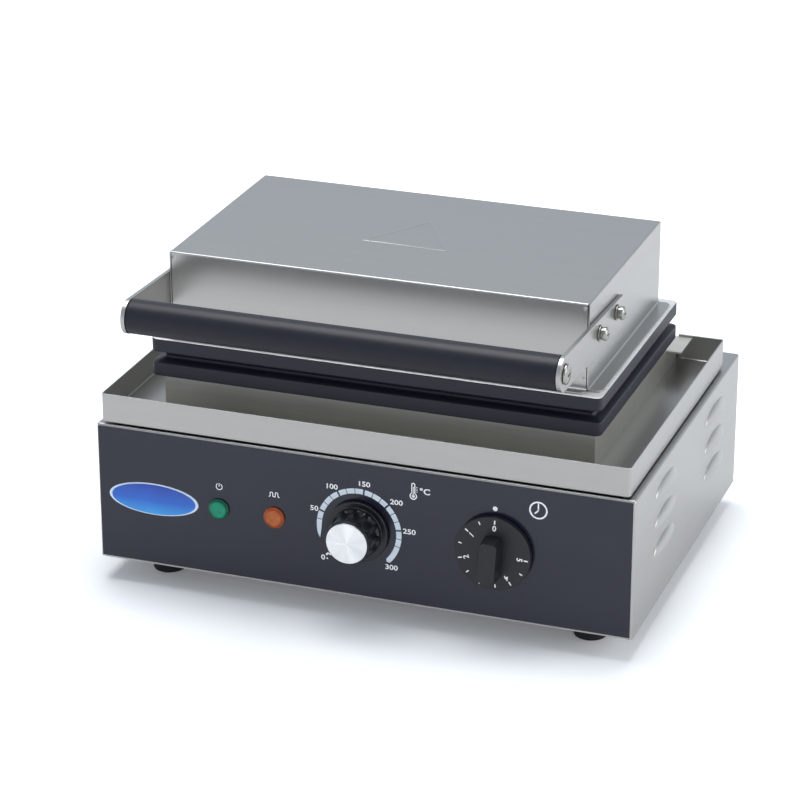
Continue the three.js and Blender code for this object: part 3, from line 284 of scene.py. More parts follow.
def walled(piece, thickness, crisp=32):
    """Gives a sheet its thickness inwards, and its cut edges crisp corners."""
    wall = piece.modifiers.new("sheet", "SOLIDIFY")
    wall.thickness = thickness
    wall.offset = -1
    wall.use_even_offset = True
    bpy.context.view_layer.update()
    graph = bpy.context.evaluated_depsgraph_get()
    mesh = bpy.data.meshes.new_from_object(piece.evaluated_get(graph))
    piece.modifiers.clear()
    piece.data = mesh
    mesh.shade_smooth()
    mesh.set_sharp_from_angle(angle=math.radians(crisp))
    return piece


def cad(node):
    """The lowest and highest corner of a CAD node, in the geometry's millimetres."""
    low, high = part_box(node)
    rise = np.array([0, 0, STAND])
    return np.array(low) / MM - rise, np.array(high) / MM - rise


# Materials

def add_node(tree, kind, values=None, links=None, **settings):
    """Adds a node with its own settings, the values of its sockets and the links into them."""
    item = tree.nodes.new(kind)
    for key, value in settings.items():
        setattr(item, key, value)
    for key, value in (values or {}).items():
        item.inputs[key].default_value = value
    for key, source in (links or {}).items():
        tree.links.new(source, item.inputs[key])
    return item


def new_finish(name, base, metallic, roughness, **constants):
    """A material with a Principled shader whose constant sockets are set, and its tree and shader."""
    material = bpy.data.materials.new(name)
    material.use_nodes = True
    tree = material.node_tree
    tree.nodes.clear()
    values = {"Base Color": (*base, 1), "Metallic": metallic, "Roughness": roughness}
    values.update({key.replace("_", " ").title().replace("Ior", "IOR"): value for key, value in constants.items()})
    shader = add_node(tree, "ShaderNodeBsdfPrincipled", values)
    add_node(tree, "ShaderNodeOutputMaterial", links={"Surface": shader.outputs[0]})
    return material, tree, shader


def pattern(tree, cell, detail=2.0, roughness=0.5):
    """Noise on Object coordinates whose cells measure cell = (x, y, z) millimetres."""
    place = add_node(tree, "ShaderNodeTexCoord")
    scale = [1 / (size * MM) for size in cell]
    sized = add_node(tree, "ShaderNodeMapping", {"Scale": scale}, {"Vector": place.outputs["Object"]})
    values = {"Scale": 1.0, "Detail": detail, "Roughness": roughness}
    return add_node(tree, "ShaderNodeTexNoise", values, {"Vector": sized.outputs[0]}).outputs[0]


def ranged(tree, value, low, high, start=0.3, end=0.7):
    """A value stretched from start..end to low..high."""
    limits = {"From Min": start, "From Max": end, "To Min": low, "To Max": high}
    return add_node(tree, "ShaderNodeMapRange", limits, {"Value": value}).outputs[0]


def shaded(tree, base, fac, share):
    """A base colour that a 0 to 1 value takes from (1 - share) to (1 + share) of itself."""
    dark = (*[c * (1 - share) for c in base], 1)
    light = (*[min(c * (1 + share), 1) for c in base], 1)
    mix = add_node(tree, "ShaderNodeMix", data_type="RGBA")
    mix.inputs[6].default_value = dark
    mix.inputs[7].default_value = light
    tree.links.new(fac, mix.inputs[0])
    return mix.outputs[2]


def bumped(tree, shader, value, depth, strength=1.0):
    """Joins a bump of the given depth in millimetres to a shader."""
    bump = add_node(tree, "ShaderNodeBump", {"Strength": strength, "Distance": depth * MM}, {"Height": value})
    tree.links.new(bump.outputs[0], shader.inputs["Normal"])


def brushed_stainless(name, grain, dull=0.32, share=0.02, tone=None):
    """AISI 304 sheet brushed with a 240-grit belt: fine parallel scratches, drawn 0.5 mm wide so that they show,
    spread the highlights across the grain, and broad faint streaks follow the belt."""
    base = tone or tuple(bpy.context.scene.waffle_colours.stainless)
    material, tree, shader = new_finish(name, base, 1.0, dull)
    fine = [70 if axis == grain else 0.5 for axis in "xyz"]
    broad = [400 if axis == grain else 6 for axis in "xyz"]
    scratches = pattern(tree, fine, 3)
    streaks = pattern(tree, broad, 2)
    both = add_node(tree, "ShaderNodeMath", {1: 0.5}, {0: scratches}, operation="MULTIPLY")
    both = add_node(tree, "ShaderNodeMath", {1: 0.5}, {0: streaks, 2: both.outputs[0]}, operation="MULTIPLY_ADD")
    tree.links.new(shaded(tree, base, ranged(tree, both.outputs[0], 0, 1), share), shader.inputs["Base Color"])
    tree.links.new(ranged(tree, scratches, dull - 0.03, dull + 0.03), shader.inputs["Roughness"])
    bumped(tree, shader, scratches, 0.002)
    return material


def bright_zinc():
    """Steel with bright zinc plating: a cool grey shine, slightly cloudy where the bath left it uneven."""
    base = tuple(bpy.context.scene.waffle_colours.zinc)
    material, tree, shader = new_finish("zinc plated steel", base, 1.0, 0.3)
    clouds = pattern(tree, (5, 5, 5), 4)
    tree.links.new(shaded(tree, base, ranged(tree, clouds, 0, 1), 0.08), shader.inputs["Base Color"])
    tree.links.new(ranged(tree, clouds, 0.16, 0.28), shader.inputs["Roughness"])
    bumped(tree, shader, pattern(tree, (0.6, 0.6, 0.6)), 0.01)
    return material


def spun_aluminium():
    """Aluminium turned on a lathe: the rings of the tool, 0.4 mm apart, stretch the light into broad rays that turn
    about the middle. Its base colour is also lighter and darker in sectors round the middle, a painted reflection of
    those rays."""
    base = tuple(bpy.context.scene.waffle_colours.aluminium)
    material, tree, shader = new_finish("spun aluminium", base, 1.0, 0.3, anisotropic=0.75)
    tangent = add_node(tree, "ShaderNodeTangent", direction_type="UV_MAP", uv_map="UVMap")
    tree.links.new(tangent.outputs[0], shader.inputs["Tangent"])
    uv = add_node(tree, "ShaderNodeUVMap", uv_map="UVMap")
    sized = add_node(tree, "ShaderNodeMapping", {"Scale": (7, 0, 1)}, {"Vector": uv.outputs[0]})
    roughness_and_painted_fan = add_node(tree, "ShaderNodeTexNoise", {"Scale": 1.0, "Detail": 1.0}, {"Vector": sized.outputs[0]}).outputs[0]
    tree.links.new(ranged(tree, roughness_and_painted_fan, 0.24, 0.3), shader.inputs["Roughness"])
    # Lighter and darker sectors of base colour round the middle: a painted reflection.
    tree.links.new(shaded(tree, base, ranged(tree, roughness_and_painted_fan, 0, 1), 0.13), shader.inputs["Base Color"])
    return material


def machined_aluminium():
    """The milled back edge of a casting: bright with straight cutter marks 0.8 mm apart."""
    base = tuple(bpy.context.scene.waffle_colours.machined)
    material, tree, shader = new_finish("machined aluminium", base, 1.0, 0.58)
    marks = pattern(tree, (20, 0.8, 0.8), 2)
    tree.links.new(shaded(tree, base, ranged(tree, marks, 0, 1), 0.12), shader.inputs["Base Color"])
    bumped(tree, shader, marks, 0.02)
    return material


def printed_film():
    """Polyester film printed black on its back: a smooth satin face with a very faint orange peel."""
    base = tuple(bpy.context.scene.waffle_colours.film)
    material, tree, shader = new_finish("printed polyester film", base, 0.0, 0.2, specular_ior_level=0.55)
    peel = pattern(tree, (2.5, 2.5, 2.5), 2)
    tree.links.new(ranged(tree, peel, 0.17, 0.24), shader.inputs["Roughness"])
    tree.links.new(shaded(tree, base, ranged(tree, pattern(tree, (40, 40, 40)), 0, 1), 0.08), shader.inputs["Base Color"])
    bumped(tree, shader, peel, 0.004)
    return material


def nonstick_casting():
    """Sand-cast aluminium under a sprayed non-stick coat: blue-black, semi-matte, with the grain of the sand
    showing through at about 1 mm and finer specks in the coat."""
    base = tuple(bpy.context.scene.waffle_colours.coating)
    material, tree, shader = new_finish("non-stick coated casting", base, 0.0, 0.46, specular_ior_level=0.42)
    grain = pattern(tree, (1.1, 1.1, 1.1), 3)
    specks = pattern(tree, (0.5, 0.5, 0.5), 1)
    tree.links.new(shaded(tree, base, ranged(tree, specks, 0, 1), 0.18), shader.inputs["Base Color"])
    tree.links.new(ranged(tree, grain, 0.4, 0.54), shader.inputs["Roughness"])
    bumped(tree, shader, grain, 0.06)
    return material


def moulded(name, base, roughness, texture, gloss=0.5):
    """Moulded plastic with the spark-eroded skin of its tool, whose pits are texture millimetres wide."""
    material, tree, shader = new_finish(name, base, 0.0, roughness, specular_ior_level=gloss)
    pits = pattern(tree, (texture,) * 3, 2)
    tree.links.new(ranged(tree, pits, roughness - 0.05, roughness + 0.06), shader.inputs["Roughness"])
    tree.links.new(shaded(tree, base, ranged(tree, pattern(tree, (9, 9, 9)), 0, 1), 0.1), shader.inputs["Base Color"])
    bumped(tree, shader, pits, 0.015)
    return material


def lamp_lens(name, base):
    """Clear coloured polycarbonate, polished: the light goes in and comes back tinted, under a hard gloss."""
    material, tree, shader = new_finish(name, base, 0.0, 0.14, specular_ior_level=0.35)
    depth = pattern(tree, (3, 3, 3), 1)
    tree.links.new(shaded(tree, base, ranged(tree, depth, 0, 1), 0.12), shader.inputs["Base Color"])
    return material


def screen_ink(name, base):
    """Screen-printed ink: opaque and matte, a little thinner towards the mesh of the screen."""
    material, tree, shader = new_finish(name, base, 0.0, 0.55)
    mesh = pattern(tree, (0.3, 0.3, 0.3), 1)
    tree.links.new(shaded(tree, base, ranged(tree, mesh, 0, 1), 0.06), shader.inputs["Base Color"])
    return material


def enamel_plate():
    """A domed enamel plate: deep gloss over a blue that lightens from the top towards the bottom."""
    base = tuple(bpy.context.scene.waffle_colours.enamel)
    material, tree, shader = new_finish("blue enamel", base, 0.0, 0.2, coat_weight=0.2, coat_roughness=0.08)
    uv = add_node(tree, "ShaderNodeUVMap", uv_map="UVMap")
    apart = add_node(tree, "ShaderNodeSeparateXYZ", links={"Vector": uv.outputs[0]})
    ramp = add_node(tree, "ShaderNodeValToRGB", links={"Fac": apart.outputs["Y"]})
    stops = [(0.0, "#36A2E8"), (0.45, "#1D66CC"), (1.0, "#1A3CA6")]
    ramp.color_ramp.elements.new(0.45)
    for element, (place, tone) in zip(ramp.color_ramp.elements, stops):
        element.position = place
        element.color = (*linear(tone), 1)
    clouds = ranged(tree, pattern(tree, (14, 14, 14)), 0.95, 1.05)
    mixed = add_node(tree, "ShaderNodeVectorMath", links={0: ramp.outputs[0]}, operation="SCALE")
    tree.links.new(clouds, mixed.inputs["Scale"])
    tree.links.new(mixed.outputs[0], shader.inputs["Base Color"])
    return material


def glazed_rim():
    """The pale glazed rim of the oval plate, slightly uneven."""
    base = linear("#D4E2F3")
    material, tree, shader = new_finish("pale enamel", base, 0.0, 0.2, coat_weight=0.5)
    tree.links.new(shaded(tree, base, ranged(tree, pattern(tree, (2, 2, 2)), 0, 1), 0.05), shader.inputs["Base Color"])
    return material


def fired_ceramic():
    """Unglazed steatite: cream, dry and finely grained."""
    base = linear("#E2DCCF")
    material, tree, shader = new_finish("steatite ceramic", base, 0.0, 0.7)
    grain = pattern(tree, (0.8, 0.8, 0.8), 3)
    tree.links.new(shaded(tree, base, ranged(tree, grain, 0, 1), 0.06), shader.inputs["Base Color"])
    bumped(tree, shader, grain, 0.02)
    return material


def drawn_copper():
    """Drawn copper tube: a warm satin with brown handling marks."""
    base = linear("#C98A62")
    material, tree, shader = new_finish("drawn copper", base, 1.0, 0.32)
    marks = pattern(tree, (4, 4, 4), 3)
    tree.links.new(shaded(tree, base, ranged(tree, marks, 0, 1), 0.2), shader.inputs["Base Color"])
    tree.links.new(ranged(tree, marks, 0.25, 0.45), shader.inputs["Roughness"])
    return material


def heated_sheath():
    """Incoloy heater sheath after use: grey-brown oxide with straw and blue temper patches."""
    material, tree, shader = new_finish("heat-darkened sheath", linear("#6E6862"), 1.0, 0.48)
    patches = pattern(tree, (18, 18, 18), 3)
    ramp = add_node(tree, "ShaderNodeValToRGB", links={"Fac": patches})
    ramp.color_ramp.elements.new(0.5)
    for element, (place, tone) in zip(ramp.color_ramp.elements, [(0.3, "#5A5450"), (0.5, "#7B7064"), (0.75, "#565C68")]):
        element.position = place
        element.color = (*linear(tone), 1)
    tree.links.new(ramp.outputs[0], shader.inputs["Base Color"])
    return material


def mineral_board():
    """Pressed mineral fibre: tan, matte and felted."""
    base = linear("#B3A688")
    material, tree, shader = new_finish("mineral fibre board", base, 0.0, 0.95)
    fibre = pattern(tree, (6, 0.6, 0.6), 4)
    tree.links.new(shaded(tree, base, ranged(tree, fibre, 0, 1), 0.18), shader.inputs["Base Color"])
    bumped(tree, shader, fibre, 0.2)
    return material


FINISHES = {
    "stainless_x": lambda c: brushed_stainless("brushed stainless, grain across", "x"),
    "stainless_y": lambda c: brushed_stainless("brushed stainless, grain front to back", "y"),
    # A paler, warmer copy of the brushed stainless with a duller grain, for the pedestal and hinge shelf down in the
    # tray: its pale tone is painted light on their shaded faces.
    "stainless_dull_painted_pale": lambda c: brushed_stainless("paler stainless, painted light", "x", 0.42, 0.06, linear("#D6D3CA")),
    "zinc": lambda c: bright_zinc(),
    "spun": lambda c: spun_aluminium(),
    "machined": lambda c: machined_aluminium(),
    "film": lambda c: printed_film(),
    "casting": lambda c: nonstick_casting(),
    "bakelite": lambda c: moulded("moulded bakelite", tuple(c.bakelite), 0.4, 0.7, 0.3),
    "phenolic": lambda c: moulded("polished phenolic moulding", tuple(v * 0.35 for v in c.bakelite), 0.24, 0.5),
    "plastic": lambda c: moulded("moulded ABS", tuple(c.moulded), 0.42, 0.35),
    "rubber": lambda c: moulded("moulded rubber", tuple(c.rubber), 0.72, 0.5),
    "green": lambda c: lamp_lens("green polycarbonate", tuple(c.green)),
    # The rims take darker copies of the lens colours: painted shade on the bevelled edge of each lens.
    "green_rim": lambda c: lamp_lens("green polycarbonate, painted shade on the rim", tuple(v * 0.3 for v in c.green)),
    "orange": lambda c: lamp_lens("orange polycarbonate", tuple(c.orange)),
    "orange_rim": lambda c: lamp_lens("orange polycarbonate, painted shade on the rim", (c.orange[0] * 0.75, c.orange[1] * 0.5, c.orange[2] * 0.4)),
    "ink": lambda c: screen_ink("white screen ink", tuple(c.ink)),
    "ring": lambda c: screen_ink("pale blue screen ink", tuple(c.ring)),
    "enamel": lambda c: enamel_plate(),
    "glaze": lambda c: glazed_rim(),
    "ceramic": lambda c: fired_ceramic(),
    "copper": lambda c: drawn_copper(),
    "sheath": lambda c: heated_sheath(),
    "board": lambda c: mineral_board(),
}
made = {}


def finish(key):
    """The material of that key, made once."""
    if key not in made:
        made[key] = FINISHES[key](bpy.context.scene.waffle_colours)
    return made[key]


# Nodes of the CAD model that stay as they are
CARRIED = {
    "stainless_x": ["base_plate"],
    # The pedestal and hinge shelf take the paler copy of the stainless, painted light on their shaded faces.
    "stainless_dull_painted_pale": ["plate_pedestal", "hinge_shelf"],
    "ceramic": ["thermostat_body", "terminal_block"],
    "zinc": [
        "thermostat_shaft", "timer_body", "timer_shaft", "lower_heater_clamp_front", "lower_heater_clamp_rear",
        "hinge_bracket_left", "hinge_bracket_right", "hinge_pin_left", "hinge_pin_right",
        "upper_heater_clamp_front", "upper_heater_clamp_rear", "hinge_leaf_left", "hinge_leaf_right", "handle_rod",
    ],
    "copper": ["thermostat_bulb", "thermostat_capillary"],
    "plastic": ["power_lamp_body", "heat_lamp_body", "cable_gland_nut"],
    "sheath": ["lower_heater", "upper_heater"],
    "board": ["lid_insulation"],
}


class WAFFLE_OT_carried(bpy.types.Operator):
    """Gives the CAD nodes that stay as they are their materials"""

    bl_idname = "waffle.carried"
    bl_label = "Carried CAD nodes"

    def execute(self, context):
        for key, nodes in CARRIED.items():
            for node in nodes:
                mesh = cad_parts[node].data
                mesh.materials.clear()
                mesh.materials.append(finish(key))
        return {"FINISHED"}


# Housing and feet

LOUVRE_COLUMNS = np.array([-49.1, 89.9])
LOUVRE_SLITS = np.array([50, 72.5, 95])
LOUVRE_HALF, LOUVRE_RISE = 28, 9.5


def louvre_place(y, z):
    """Squared distance from the middle of the nearest slit, in units of a louvre's half length and rise."""
    q = [
        ((y - column) / LOUVRE_HALF) ** 2 + ((z - slit) / LOUVRE_RISE) ** 2 + 10 * (z < slit - 0.001)
        for column in LOUVRE_COLUMNS for slit in LOUVRE_SLITS
    ]
    return np.min(q, axis=0)


def louvre_hood(column, slit, wall, sign, depth):
    """A pressed louvre, open underneath: on rings that shrink by s from the half ellipse in the wall to the
    middle of the slit, it stands out by depth times the power 0.75 of 1 - s^2."""
    s = np.concatenate([[1.0, 0.997, 0.985], np.linspace(0.96, 0.0, 16)])[:, None]
    turn = np.linspace(0, math.pi, 41)[None, :]
    out = sign * depth * (1 - s ** 2) ** 0.75 * np.ones_like(turn)
    y = column + LOUVRE_HALF * s * np.cos(turn)
    z = slit + LOUVRE_RISE * s * np.sin(turn)
    return np.stack([wall + out, y, z], axis=-1)


class WAFFLE_OT_housing(bpy.types.Operator):
    """Makes the folded housing sheet with its pressed louvres"""

    bl_idname = "waffle.housing"
    bl_label = "Housing"

    def execute(self, context):
        sizes = context.scene.waffle_sizes
        depth, bend = sizes.louvre_depth / MM, sizes.housing_bend / MM
        low, high = cad("housing")
        low[0] += depth
        high[0] -= depth
        swing = np.sin(np.linspace(-math.pi / 2, math.pi / 2, 25))
        rise = np.sin(np.linspace(0, math.pi / 2, 11))
        x = spread(low[0], high[0], bend, np.linspace(-150, 150, 7))
        y = spread(low[1], high[1], bend, (LOUVRE_COLUMNS[:, None] + LOUVRE_HALF * swing).ravel())
        heights = [(LOUVRE_SLITS[:, None] + LOUVRE_RISE * rise).ravel(), [low[2]]]
        z = spread(low[2] + bend, high[2], bend, np.concatenate(heights))
        z = z[z >= low[2]]
        z = z[(z <= low[2] + 0.001) | (z > low[2] + 2 * bend)]
        open_low = low - np.array([0, 0, 100])

        def skin(grid):
            inner = np.clip(grid, open_low + bend, high - bend)
            step = grid - inner
            return inner + bend * step / np.linalg.norm(step, axis=-1, keepdims=True)

        surfaces = []
        for sign, wall in ((-1, low[0]), (1, high[0])):
            across, up = np.meshgrid(y, z, indexing="ij")
            points = skin(np.stack([np.full_like(across, wall), across, up], axis=-1))
            place = louvre_place(across, up)
            most = np.max([place[:-1, :-1], place[1:, :-1], place[:-1, 1:], place[1:, 1:]], axis=0)
            surfaces.append(surface(points, material=1, keep=most > 0.98))
            surfaces += [
                surface(louvre_hood(column, slit, wall, sign, depth), material=1)
                for column in LOUVRE_COLUMNS for slit in LOUVRE_SLITS
            ]
        across, along = np.meshgrid(x, y, indexing="ij")
        surfaces.append(surface(skin(np.stack([across, along, np.full_like(across, high[2])], axis=-1)), material=1))
        across, up = np.meshgrid(x, z, indexing="ij")
        for wall in (low[1], high[1]):
            surfaces.append(surface(skin(np.stack([across, np.full_like(across, wall), up], axis=-1))))
        sheet = build("housing_sheet", surfaces, [finish("stainless_x"), finish("stainless_y")])
        fitted(walled(sheet, sizes.sheet), "base", ["housing"])
        return {"FINISHED"}


class WAFFLE_OT_feet(bpy.types.Operator):
    """Makes the four rubber feet and the screw in the recess of each"""

    bl_idname = "waffle.feet"
    bl_label = "Feet"

    def execute(self, context):
        ground, recess = -STAND, 12 - STAND
        profile = softened(
            [(0, recess), (6, recess), (6, ground), (12.2, ground), (13, 8.9), (13, 9.7), (0, 9.7)],
            [0.3, 0.8, 1.2, 0.5, 0.3],
        )
        head = screw_head(4.6, 1.2, 1.4, 32, 12)
        for end in ("front", "rear"):
            for side in ("left", "right"):
                node = f"foot_{end}_{side}"
                low, high = cad(node)
                middle = (low + high) / 2
                spot = [middle[0], middle[1], 0]
                foot = build(f"rubber_{node}", [surface(placed(turned(profile, 72), "up", spot), wrap=True)], [finish("rubber")])
                fitted(foot, "base", [node])
                screw = surface(placed(head, "down", [middle[0], middle[1], recess]), wrap=True)
                fitted(build(f"screw_{node}", [screw], [finish("zinc")]), "base")
        return {"FINISHED"}


def screw_head(radius, rim, dome, sides=64, rows=22, bar=1.1, reach=2.7, sunk=1.1):
    """A pan head with a cross recess: rim plus dome times the root of 1 - (r/radius)^2, less the recess where a
    point lies in either bar of the cross."""
    r = np.linspace(1, 0, rows) * radius
    angle = np.linspace(0, 2 * math.pi, sides, endpoint=False)
    x, y = r[:, None] * np.cos(angle), r[:, None] * np.sin(angle)

    def in_bar(a, b):
        return np.clip((bar / 2 - np.abs(a)) / 0.16 + 0.5, 0, 1) * np.clip((reach - np.abs(b)) / 0.3 + 0.5, 0, 1)

    recess = np.maximum(in_bar(x, y), in_bar(y, x))
    height = rim + dome * np.sqrt(np.clip(1 - (x ** 2 + y ** 2) / radius ** 2, 0, 1)) - sunk * recess
    top = np.stack([x, y, height], axis=-1)
    foot = turned(np.array([(0, 0), (radius - 0.2, 0), (radius, 0.2)], float), sides)
    return np.concatenate([foot, top])


# Front panel

def arc(radius, start, end, step=2.0):
    """Points on a circle from start to end, in degrees."""
    angle = np.radians(np.linspace(start, end, max(3, int(abs(end - start) / step) + 2)))
    return np.stack([radius * np.cos(angle), radius * np.sin(angle)], axis=-1)


def band(start, end, inner, outer):
    """A flat piece of a ring between two radii."""
    return np.stack([arc(inner, start, end), arc(outer, start, end)])


def stroke(path, width, closed=False):
    """A flat line of even width: a path moved half the width to both sides along its normals."""
    path = np.array(path, float)
    if closed:
        path = np.concatenate([path, path[:1]])
        ahead = np.concatenate([path[1:2] - path[-2:-1], path[2:] - path[:-2], path[1:2] - path[-2:-1]])
    else:
        ahead = np.gradient(path, axis=0)
    normal = np.stack([-ahead[:, 1], ahead[:, 0]], axis=-1)
    normal /= np.linalg.norm(normal, axis=-1, keepdims=True)
    return np.stack([path - normal * width / 2, path + normal * width / 2])


def disc(radius, x=0.0, y=0.0):
    """A flat disc."""
    ring = np.concatenate([arc(radius, 0, 360, 8)])
    return np.stack([np.zeros_like(ring), ring]) + np.array([x, y])


def flat(shape, facing, place, lift, material=0, turn=0.0, shift=(0, 0)):
    """A flat shape turned by an angle, shifted, and laid on a face of the machine."""
    spin = np.array([[math.cos(turn), math.sin(turn)], [-math.sin(turn), math.cos(turn)]])
    laid = shape @ spin + np.array(shift, float)
    points = placed(np.concatenate([laid, np.full((*laid.shape[:-1], 1), lift)], axis=-1), facing, place)
    return outward_surface(points, facing, material)


def outward_surface(points, facing, material=0):
    """A flat surface whose faces look out of the machine."""
    made_surface = surface(points, material=material)
    look = np.array(FACINGS[facing][2], float)
    corners = made_surface[0][np.array(made_surface[1])]
    normal = np.cross(corners[:, 2] - corners[:, 0], corners[:, 3] - corners[:, 1])
    faces = [face if side > 0 else face[::-1] for face, side in zip(made_surface[1], (normal @ look).tolist())]
    return made_surface[0], faces, made_surface[2], made_surface[3]


def glyphs(text, height, facing, place, lift, turn=0.0, shift=(0, 0), wide=1.2):
    """Lettering from the built-in font, scaled so that a digit has the given height, middle on its place."""
    curve = bpy.data.curves.new("lettering", "FONT")
    curve.body = text
    curve.resolution_u = 4
    curve.offset = 0.02
    holder = bpy.data.objects.new("lettering", curve)
    bpy.context.scene.collection.objects.link(holder)
    bpy.context.view_layer.update()
    mesh = bpy.data.meshes.new_from_object(holder)
    points = np.zeros(len(mesh.vertices) * 3)
    mesh.vertices.foreach_get("co", points)
    faces = [list(face.vertices) for face in mesh.polygons]
    points = points.reshape(-1, 3)[:, :2]
    bpy.data.objects.remove(holder)
    bpy.data.curves.remove(curve)
    bpy.data.meshes.remove(mesh)
    digit = 0.77
    points = (points - (points.max(axis=0) + points.min(axis=0)) / 2) * height / digit * np.array([wide, 1])
    spin = np.array([[math.cos(turn), math.sin(turn)], [-math.sin(turn), math.cos(turn)]])
    laid = points @ spin + np.array(shift, float)
    points = placed(np.concatenate([laid, np.full((len(laid), 1), lift)], axis=1), facing, place)
    return points, faces, np.zeros(len(faces), int), np.zeros((len(points), 2))


FILM_FACE = -131.4
CONTROL_Z = 63.5
DIAL_PLACE = (0.4, FILM_FACE, 63.7)
TIMER_PLACE = (103, FILM_FACE, CONTROL_Z)
TIMER_LEAN = -3.5
THICK_GAPS = (158.9, 120.4, 82.6, 45.6, 7.8)
THIN_GAPS = (171.8, 145.7, 133.3, 107.7, 95.4, 70.0, 57.8, 32.7, 20.6, -4.7, -16.5)
DIAL_NUMBERS = (("0", 223, 38), ("50", 160.5, 36.3), ("100", 123, 37.2), ("150", 83, 37),
                ("200", 42.4, 38.8), ("250", 6.9, 38.7), ("300", -45.9, 35.8))


class WAFFLE_OT_print(bpy.types.Operator):
    """Prints the dial ring, its numbers and the plain marks on the front film"""

    bl_idname = "waffle.print"
    bl_label = "Front print"

    def execute(self, context):
        sizes = context.scene.waffle_sizes
        ink, digit = sizes.ink / MM, sizes.digit_height / MM
        outer = sizes.ring_radius / MM
        inner = outer - sizes.ring_band / MM
        middle = (inner + outer) / 2
        cuts = sorted([(gap, 1.25) for gap in THICK_GAPS] + [(gap, 0.5) for gap in THIN_GAPS], reverse=True)
        starts = [gap - half for gap, half in cuts]
        ends = [gap + half for gap, half in cuts[1:]] + [-41.5]
        ring = [flat(band(end, start, inner, outer), "front", DIAL_PLACE, ink) for start, end in zip(starts, ends)]
        share = np.linspace(0, 1, 24)[:, None]
        first = np.radians(np.linspace(cuts[0][0] + cuts[0][1], 199, 24))[:, None]
        away = np.concatenate([np.cos(first), np.sin(first)], axis=1)
        tapered = np.stack([away * (inner + 3.2 * share ** 2.5), away * (outer - 0.8 * share ** 8)])
        ring.append(flat(tapered, "front", DIAL_PLACE, ink))
        tip = [middle * math.cos(math.radians(-41.5)), middle * math.sin(math.radians(-41.5))]
        ring.append(flat(disc((outer - inner) / 2, *tip), "front", DIAL_PLACE, ink - 0.01))
        fitted(build("dial_ring_print", ring, [finish("ring")], turn=False), "base")

        marks = []
        for text, degrees, radius in DIAL_NUMBERS:
            spot = [radius * math.cos(math.radians(degrees)), radius * math.sin(math.radians(degrees))]
            marks.append(glyphs(text, digit, "front", DIAL_PLACE, ink, shift=spot))
        lean = math.radians(223)
        marks.append(flat(stroke([(28.0, 0), (34.8, 0)], 1.3), "front", DIAL_PLACE, ink, turn=lean))
        marks.append(flat(disc(0.6, -24.6, -26.4), "front", DIAL_PLACE, ink))
        stem = np.concatenate([
            [(-1.35, -3.2)], [(-1.35, 5.2)], arc(1.35, 180, 0, 20) + (0, 5.3), [(1.35, -3.2)],
            arc(2.9, 62, -242, 12) + (0, -5.2),
        ])
        symbol = (41.8, FILM_FACE, 101.2)
        marks.append(flat(stroke(stem * 0.84, 0.75, closed=True), "front", symbol, ink))
        marks.append(flat(disc(1.2, 0, -4.4), "front", symbol, ink))
        marks.append(flat(stroke([(0, -4.4), (0, 2.9)], 0.5), "front", symbol, ink))
        for level in (-0.9, 0.3, 1.5, 2.7):
            marks.append(flat(stroke([(2.2, level), (3.2, level)], 0.4), "front", symbol, ink))
        marks.append(glyphs("°C", digit * 1.15, "front", (50.5, FILM_FACE, 101.6), ink))
        marks.append(flat(disc(1.8), "front", (103, FILM_FACE, 96.4), ink))
        clock = (134.8, FILM_FACE, 100.1)
        marks.append(flat(stroke(arc(6.2, 0, 354, 6), 1.15, closed=True), "front", clock, ink))
        marks.append(flat(stroke([(0, 6), (0, -0.2)], 1.0), "front", clock, ink))
        marks.append(flat(stroke([(0.3, 0.2), (-2.6, -2.7)], 1.0), "front", clock, ink))
        power = (-108.0, FILM_FACE, 81.3)
        marks.append(flat(stroke(arc(2.35, 118, 422, 8), 0.62), "front", power, ink))
        marks.append(flat(stroke([(0, 2.75), (0, 0.1)], 0.62), "front", power, ink))
        coil = [(-4.2, -1.7), (-3, -1.7), (-3, 1.7), (-1, 1.7), (-1, -1.7), (1, -1.7), (1, 1.7), (3, 1.7), (3, -1.7), (4.2, -1.7)]
        coil = softened(coil, 0.7)
        marks.append(flat(stroke(coil[np.append(True, np.linalg.norm(np.diff(coil, axis=0), axis=1) > 1e-6)], 0.62),
                          "front", (-65.0, FILM_FACE, 81.5), ink))
        fitted(build("front_marks_print", marks, [finish("ink")], turn=False), "base")
        return {"FINISHED"}


class WAFFLE_OT_film(bpy.types.Operator):
    """Makes the thin film on the front with its square corners"""

    bl_idname = "waffle.film"
    bl_label = "Front film"

    def execute(self, context):
        low, high = cad("front_panel_film")
        half = (high - low)[[0, 2]] / 2
        middle = (high + low) / 2
        ring = square_ring(spread(-1, 1, 0.5 / half[0], steps=3), spread(-1, 1, 0.5 / half[1], steps=3))
        rows = softened([(2, -0.5), (0, -0.5), (0, 0), (2, 0)], 0.06)
        film = capped(ring_loft(ring, half, 0.5, rows, (middle[0], middle[2])))
        piece = build("printed_front_film", [surface(placed(film, "front", (0, FILM_FACE, 0)), wrap=True)], [finish("film")])
        fitted(piece, "base", ["front_panel_film"])
        return {"FINISHED"}


class WAFFLE_OT_plate(bpy.types.Operator):
    """Makes the bare oval plate at the left of the front"""

    bl_idname = "waffle.plate"
    bl_label = "Oval plate"

    def execute(self, context):
        share = np.concatenate([[1.0, 1.0, 0.99, 0.97, 0.945], np.linspace(0.94, 0.0, 14)])
        height = np.concatenate([[0.0, 0.45, 0.62, 0.72, 0.74], 0.72 + 0.5 * (1 - np.linspace(0.94, 0, 14) ** 2)])
        angle = np.linspace(0, 2 * math.pi, 121)
        x = share[:, None] * 35.5 * np.cos(angle)
        y = share[:, None] * 12.5 * np.sin(angle)
        points = placed(np.stack([x, y, np.broadcast_to(height[:, None], x.shape)], axis=-1), "front",
                        (-160.2, FILM_FACE, 63.3))
        uv = np.stack([np.broadcast_to(share[:, None], x.shape), 0.5 + y / 25], axis=-1)
        rim = surface(points[:6], uv=uv[:6], material=1)
        face = surface(points[5:], uv=uv[5:])
        plate = build("oval_plate", [rim, face], [finish("enamel"), finish("glaze")], crisp=50)
        fitted(plate, "base")
        return {"FINISHED"}


